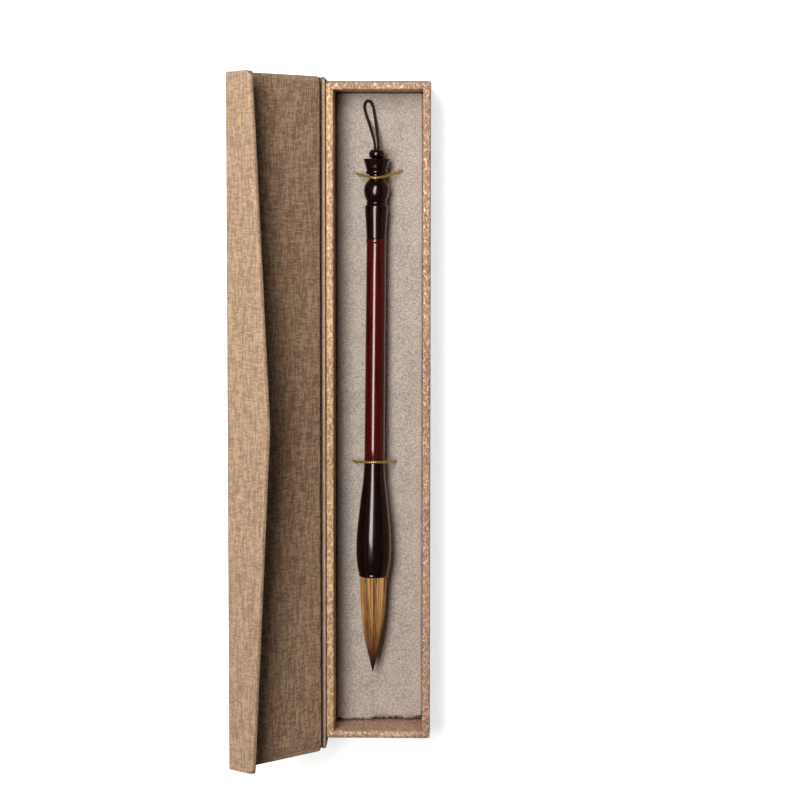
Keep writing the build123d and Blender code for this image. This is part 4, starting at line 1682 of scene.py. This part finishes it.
@dataclass
class Bed:
    """The velvet-covered foam bed that the brush lies on."""

    left: float = -21.5
    right: float = 24.3
    foot: float = -165.6
    head: float = 168.6
    low: float = 4.8
    top: float = BED_TOP
    edge: float = 1.1
    holes: tuple = ((-11.333, 126.629), (13.867, 128.0), (-12.643, -25.709), (10.357, -25.709))
    hole_depth: float = 1.5
    hole_reach: float = 1.15
    edge_sink: float = 0.35
    foam_side: float = 1.2
    foam_foot: float = 4.6
    fuzz_hairs: int = 170

    def build(self) -> None:
        """Cover the bed and let the elastics into it."""
        shape = slab((self.left, self.foot, self.low), (self.right, self.head, self.top), self.edge)
        close = [hole[1] + step * 1.2 for hole in self.holes[::2] for step in range(-2, 3)]
        slice_up(shape, 1, sorted(set(spaced(self.foot, self.head, 5.0) + close + [self.foot + 3.0])))
        beside = [hole[0] + float(step) for hole in self.holes for step in range(-2, 3)]
        slice_up(shape, 0, sorted(set(spaced(self.left, self.right, 1.6) + beside)))
        ripple(shape, depth=0.16, wave=7.0, seed=9.3)
        for vert in shape.verts:
            if vert.co.z < self.top - 2.0:
                continue
            for x, y in self.holes:
                away = (vert.co.xy - Vector((x, y))).length
                vert.co.z -= self.hole_depth * math.exp(-((away / self.hole_reach) ** 2))
            x, y = vert.co.xy
            inside = min(x - self.left, self.right - x, y - self.foot, self.head - y)
            vert.co.z -= self.edge_sink * math.exp(-inside / 2.0)
            if vert.co.y < self.foot + 2.2:
                ragged = self.raggedness(vert.co.x)
                vert.co.y += ragged
                vert.co.z -= 0.15 * ragged
        bed = add_piece(shape, "velvet_bed", VELVET, body="box", nodes=("velvet_cover",), smooth=70.0)
        side = self.foam_side
        foam = slab(
            (self.left + side, self.foot + self.foam_foot, SKIN + 0.1),
            (self.right - side, self.head - side, self.top - 1.0), 1.0, 2,
        )
        slice_up(foam, 1, spaced(self.foot, self.head, 12.0))
        add_piece(foam, "foam_block", FOAM, body="box", nodes=("foam_pad",))
        dress_node("elastic_knots", GOLD_THREAD)
        self.fuzz()

    def raggedness(self, x: float) -> float:
        """How far the velvet's cut edge stands back from the foot wall.

        Args:
            x: The place across the bed.

        Returns:
            The distance.
        """
        wave = noise.noise(Vector((x * 0.17, 3.3, 7.7))) + 0.7 * noise.noise(Vector((x * 0.62, 1.1, 2.2)))
        corner = 1.6 * math.exp(-((self.right - x) / 2.2) ** 2)
        return max(0.5, 1.1 + 1.5 * wave + 0.018 * (x - self.left) + corner)

    def fuzz(self) -> None:
        """Loose flock along the velvet's cut edge at the foot."""
        chance = random.Random(23)
        shape = bmesh.new()
        for _ in range(self.fuzz_hairs):
            x = chance.uniform(self.left + 0.8, self.right - 0.8)
            y = self.foot + self.raggedness(x) + chance.uniform(0.2, 0.9)
            z = self.top - chance.uniform(0.3, 1.2)
            reach = chance.uniform(0.4, 1.2)
            lean = chance.uniform(-0.6, 0.6)
            points = [
                Vector((x, y + 0.6, z - 0.2)),
                Vector((x + lean * 0.4, y, z + 0.15)),
                Vector((x + lean, max(y - reach, self.foot + 0.1), z + chance.uniform(-0.2, 0.35))),
            ]
            add_tube(shape, points, lambda share: 0.10 - 0.06 * share, sides=4, tone=chance.random())
        add_piece(shape, "velvet_edge_fuzz", VELVET, body="box", smooth=70.0)


# ---------------------------------------------------------------- brush


class End(Enum):
    """How a turning's profile closes on itself."""

    SOLID = "to the axis at both ends"
    RING = "round a hole"


@dataclass(frozen=True)
class Turning:
    """One turned part of the brush: its solid, its lacquer and its profile, from the tip's end on."""

    node: str
    finish: Lacquer
    outline: tuple
    edge: float
    end: End = End.SOLID


GOLDEN_TURN = 0.6180339
TURNINGS = (
    Turning("head_bulb", DARK_LACQUER, (
        (7.25, 51.5), (7.85, 52.3), (7.72, 53.1), (8.15, 54.4), (9.0, 60.3), (9.25, 67.8), (8.95, 75.3),
        (7.45, 90.2), (5.8, 104.3), (5.4, 112.2),
    ), 0.45),
    Turning("ferrule_ring", DARK_LACQUER, ((5.45, 112.2), (5.62, 112.9), (5.45, 113.6)), 0.12),
    Turning("shaft", RED_LACQUER, ((5.36, 113.6), (5.3, 150.0), (5.12, 227.5)), 0.15),
    Turning("shaft_ring", RED_LACQUER, ((5.25, 227.5), (5.42, 228.6), (5.25, 229.7)), 0.15),
    Turning("end_cap", DARK_LACQUER, ((5.1, 229.7), (5.45, 236.0), (6.1, 246.6), (5.55, 247.7)), 0.3),
    Turning("neck_ring", DARK_LACQUER, ((5.2, 247.7), (5.5, 248.5), (5.2, 249.3)), 0.15),
    Turning("upper_bulb", DARK_LACQUER, (
        (5.2, 249.3), (6.35, 252.41), (6.7, 255.74), (6.0, 258.5), (4.6, 260.4),
    ), 0.25),
    Turning("waist_collar", DARK_LACQUER, ((4.2, 260.4), (4.0, 261.9), (4.2, 263.4)), 0.1),
    Turning("crown_band", DARK_LACQUER, ((5.35, 263.4), (5.85, 264.6), (5.3, 266.0)), 0.25),
    Turning("crown", DARK_LACQUER, ((5.5, 266.0), (5.75, 266.5), (6.25, 268.7), (7.25, 271.4)), 0.25),
    Turning("finial_bead", DARK_LACQUER, (
        (1.72, 271.4), (3.5, 272.2), (4.25, 274.05), (3.5, 275.9), (1.72, 276.7),
    ), 0.0, End.RING),
)


def spin_round(shape: Shape, profile: Sequence, steps: int) -> None:
    """Spin a profile into a whole turning.

    Args:
        shape: The shape that the profile is in.
        profile: The profile's points and edges.
        steps: Faces round the axis.
    """
    bmesh.ops.spin(
        shape, geom=profile, cent=(0.0, 0.0, 0.0), axis=(0.0, 0.0, 1.0), angle=math.tau, steps=steps,
        use_merge=True, use_duplicate=False,
    )


@dataclass
class Brush:
    """The brush: hair, turned and lacquered head, shaft and crown."""

    tip: tuple[float, float, float] = (-1.773, -137.6, 24.033)
    aim: tuple[float, float, float] = (0.0078, 1.0, -0.010069)
    hair_profile: tuple = ((0.02, 0.0), (1.9, 8.24), (4.0, 16.48), (5.7, 27.3), (6.6, 38.6), (7.0, 51.5))
    strands: int = 620
    strand_steps: int = 13
    root: float = 53.0

    @property
    def place(self) -> Matrix:
        """From the brush's own millimetres, tip at zero and axis up, to the box's."""
        ahead = Vector(self.aim).normalized()
        side = Vector((1.0, -self.aim[0], 0.0)).normalized()
        side = (side - ahead * side.dot(ahead)).normalized()
        turn = Matrix((side, ahead.cross(side), ahead)).transposed().to_4x4()
        return Matrix.Translation(Vector(self.tip)) @ turn

    def build(self) -> None:
        """Turn, lacquer and string the brush."""
        for part in TURNINGS:
            self.turn(part)
        self.hair()
        dress_node("top_dowel", RAW_WOOD)
        dress_node("loop_knot", LOOP_THREAD)
        dress_node("tuft_glue_plug", ROSIN)

    def turn(self, part: Turning) -> None:
        """Turn one part of the brush on a lathe.

        Args:
            part: The part.
        """
        shape = bmesh.new()
        line = [shape.verts.new((r, 0.0, s)) for r, s in smooth_profile(part.outline)]
        if part.end is End.SOLID:
            ends = [shape.verts.new((0.0, 0.0, part.outline[i][1])) for i in (0, -1)]
            line = [ends[0], *line, ends[1]]
        edges = [shape.edges.new(pair) for pair in zip(line, line[1:])]
        if part.end is End.RING:
            edges.append(shape.edges.new((line[-1], line[0])))
        spin_round(shape, line + edges, steps=64)
        bmesh.ops.remove_doubles(shape, verts=shape.verts[:], dist=0.0005)
        bmesh.ops.recalc_face_normals(shape, faces=shape.faces)
        sharp = [e for e in shape.edges if len(e.link_faces) == 2 and e.calc_face_angle() > 0.6]
        if part.edge and sharp:
            round_off(shape, sharp, part.edge, 3, held=True)
        name = f"{part.node}_turned"
        add_piece(shape, name, part.finish, self.place, "brush", (part.node,), smooth=35.0)

    def width_at(self, along: float) -> float:
        """The tuft's radius.

        Args:
            along: The place along it, from the tip.

        Returns:
            The radius there.
        """
        points = self.hair_profile
        for (r0, s0), (r1, s1) in zip(points, points[1:]):
            if along <= s1:
                return r0 + (r1 - r0) * (along - s0) / (s1 - s0)
        return points[-1][0]

    def lock_tone(self, angle: float) -> float:
        """The tone of the lock of hair at an angle round the tuft."""
        return 0.5 + 0.7 * noise.noise(Vector((math.cos(angle) * 7.0, math.sin(angle) * 7.0, 0.3)))

    def hair(self) -> None:
        """The tuft: a core, and strands that run over it to the point."""
        chance = random.Random(5)
        shape = bmesh.new()
        outline = smooth_profile(self.hair_profile)
        line = [shape.verts.new((max(r * 0.965, 0.01), 0.0, s + 0.4)) for r, s in outline]
        line.append(shape.verts.new((6.2, 0.0, 54.0)))
        edges = [shape.edges.new(pair) for pair in zip(line, line[1:])]
        spin_round(shape, line + edges, steps=72)
        bmesh.ops.holes_fill(shape, edges=[e for e in shape.edges if e.is_boundary])
        shape.verts.layers.float.new("along")
        toned = shape.verts.layers.float.new("tone")
        for vert in shape.verts:
            vert[toned] = self.lock_tone(math.atan2(vert.co.y, vert.co.x))
        for i in range(self.strands):
            angle = math.tau * (i * GOLDEN_TURN % 1.0)
            swirl = chance.uniform(-0.10, 0.10)
            lift = chance.uniform(0.965, 1.012)
            stop = max(0.0, chance.gauss(0.0, 7.0))
            tone = self.lock_tone(angle) + chance.uniform(-0.22, 0.22)
            width = chance.uniform(0.14, 0.26)
            points = []
            for step in range(self.strand_steps + 1):
                share = step / self.strand_steps
                place = self.root + (stop - self.root) * share
                radius = self.width_at(place) * lift - 0.02
                bow = angle + swirl * math.sin(share * 3.0)
                points.append(Vector((radius * math.cos(bow), radius * math.sin(bow), place)))
            add_tube(shape, points, lambda share: width * (1.0 - 0.8 * share), sides=4, tone=tone)
        layer = shape.verts.layers.float["along"]
        for vert in shape.verts:
            vert[layer] = vert.co.z
        add_piece(shape, "hair_tuft_strands", TUFT_HAIR, self.place, "brush", ("hair_tuft",), smooth=75.0)


def smooth_profile(outline: Sequence[tuple[float, float]], steps: int = 7) -> list[tuple[float, float]]:
    """A smooth line through a turning's measured radii.

    Args:
        outline: Radius and place along the axis.
        steps: Places from each given one to the next.

    Returns:
        Closer radii and places on the same line.
    """
    points = [Vector((r, s)) for r, s in outline]
    if len(points) < 3:
        return [tuple(p) for p in points]
    found = [tuple(points[0])]
    for i in range(len(points) - 1):
        before, after = points[max(i - 1, 0)], points[min(i + 2, len(points) - 1)]
        a, b = points[i], points[i + 1]
        span = (b - a).length
        lean_a = (b - before).normalized() * span / 3
        lean_b = (after - a).normalized() * span / 3
        handles = (a, a + lean_a, b - lean_b, b)
        for spot in geometry.interpolate_bezier(*(Vector((*handle, 0.0)) for handle in handles), steps)[1:]:
            found.append((spot.x, spot.y))
    return found


# ---------------------------------------------------------------- whole


def main() -> None:
    """Build every part of the box in order."""
    logging.basicConfig(level=logging.INFO, format="%(message)s")
    for part in (Studio(), Cords(), CaseCover(), Lid(), Flap(), Tray(), Bed(), Brush()):
        part.build()


if __name__ == "__main__":
    main()
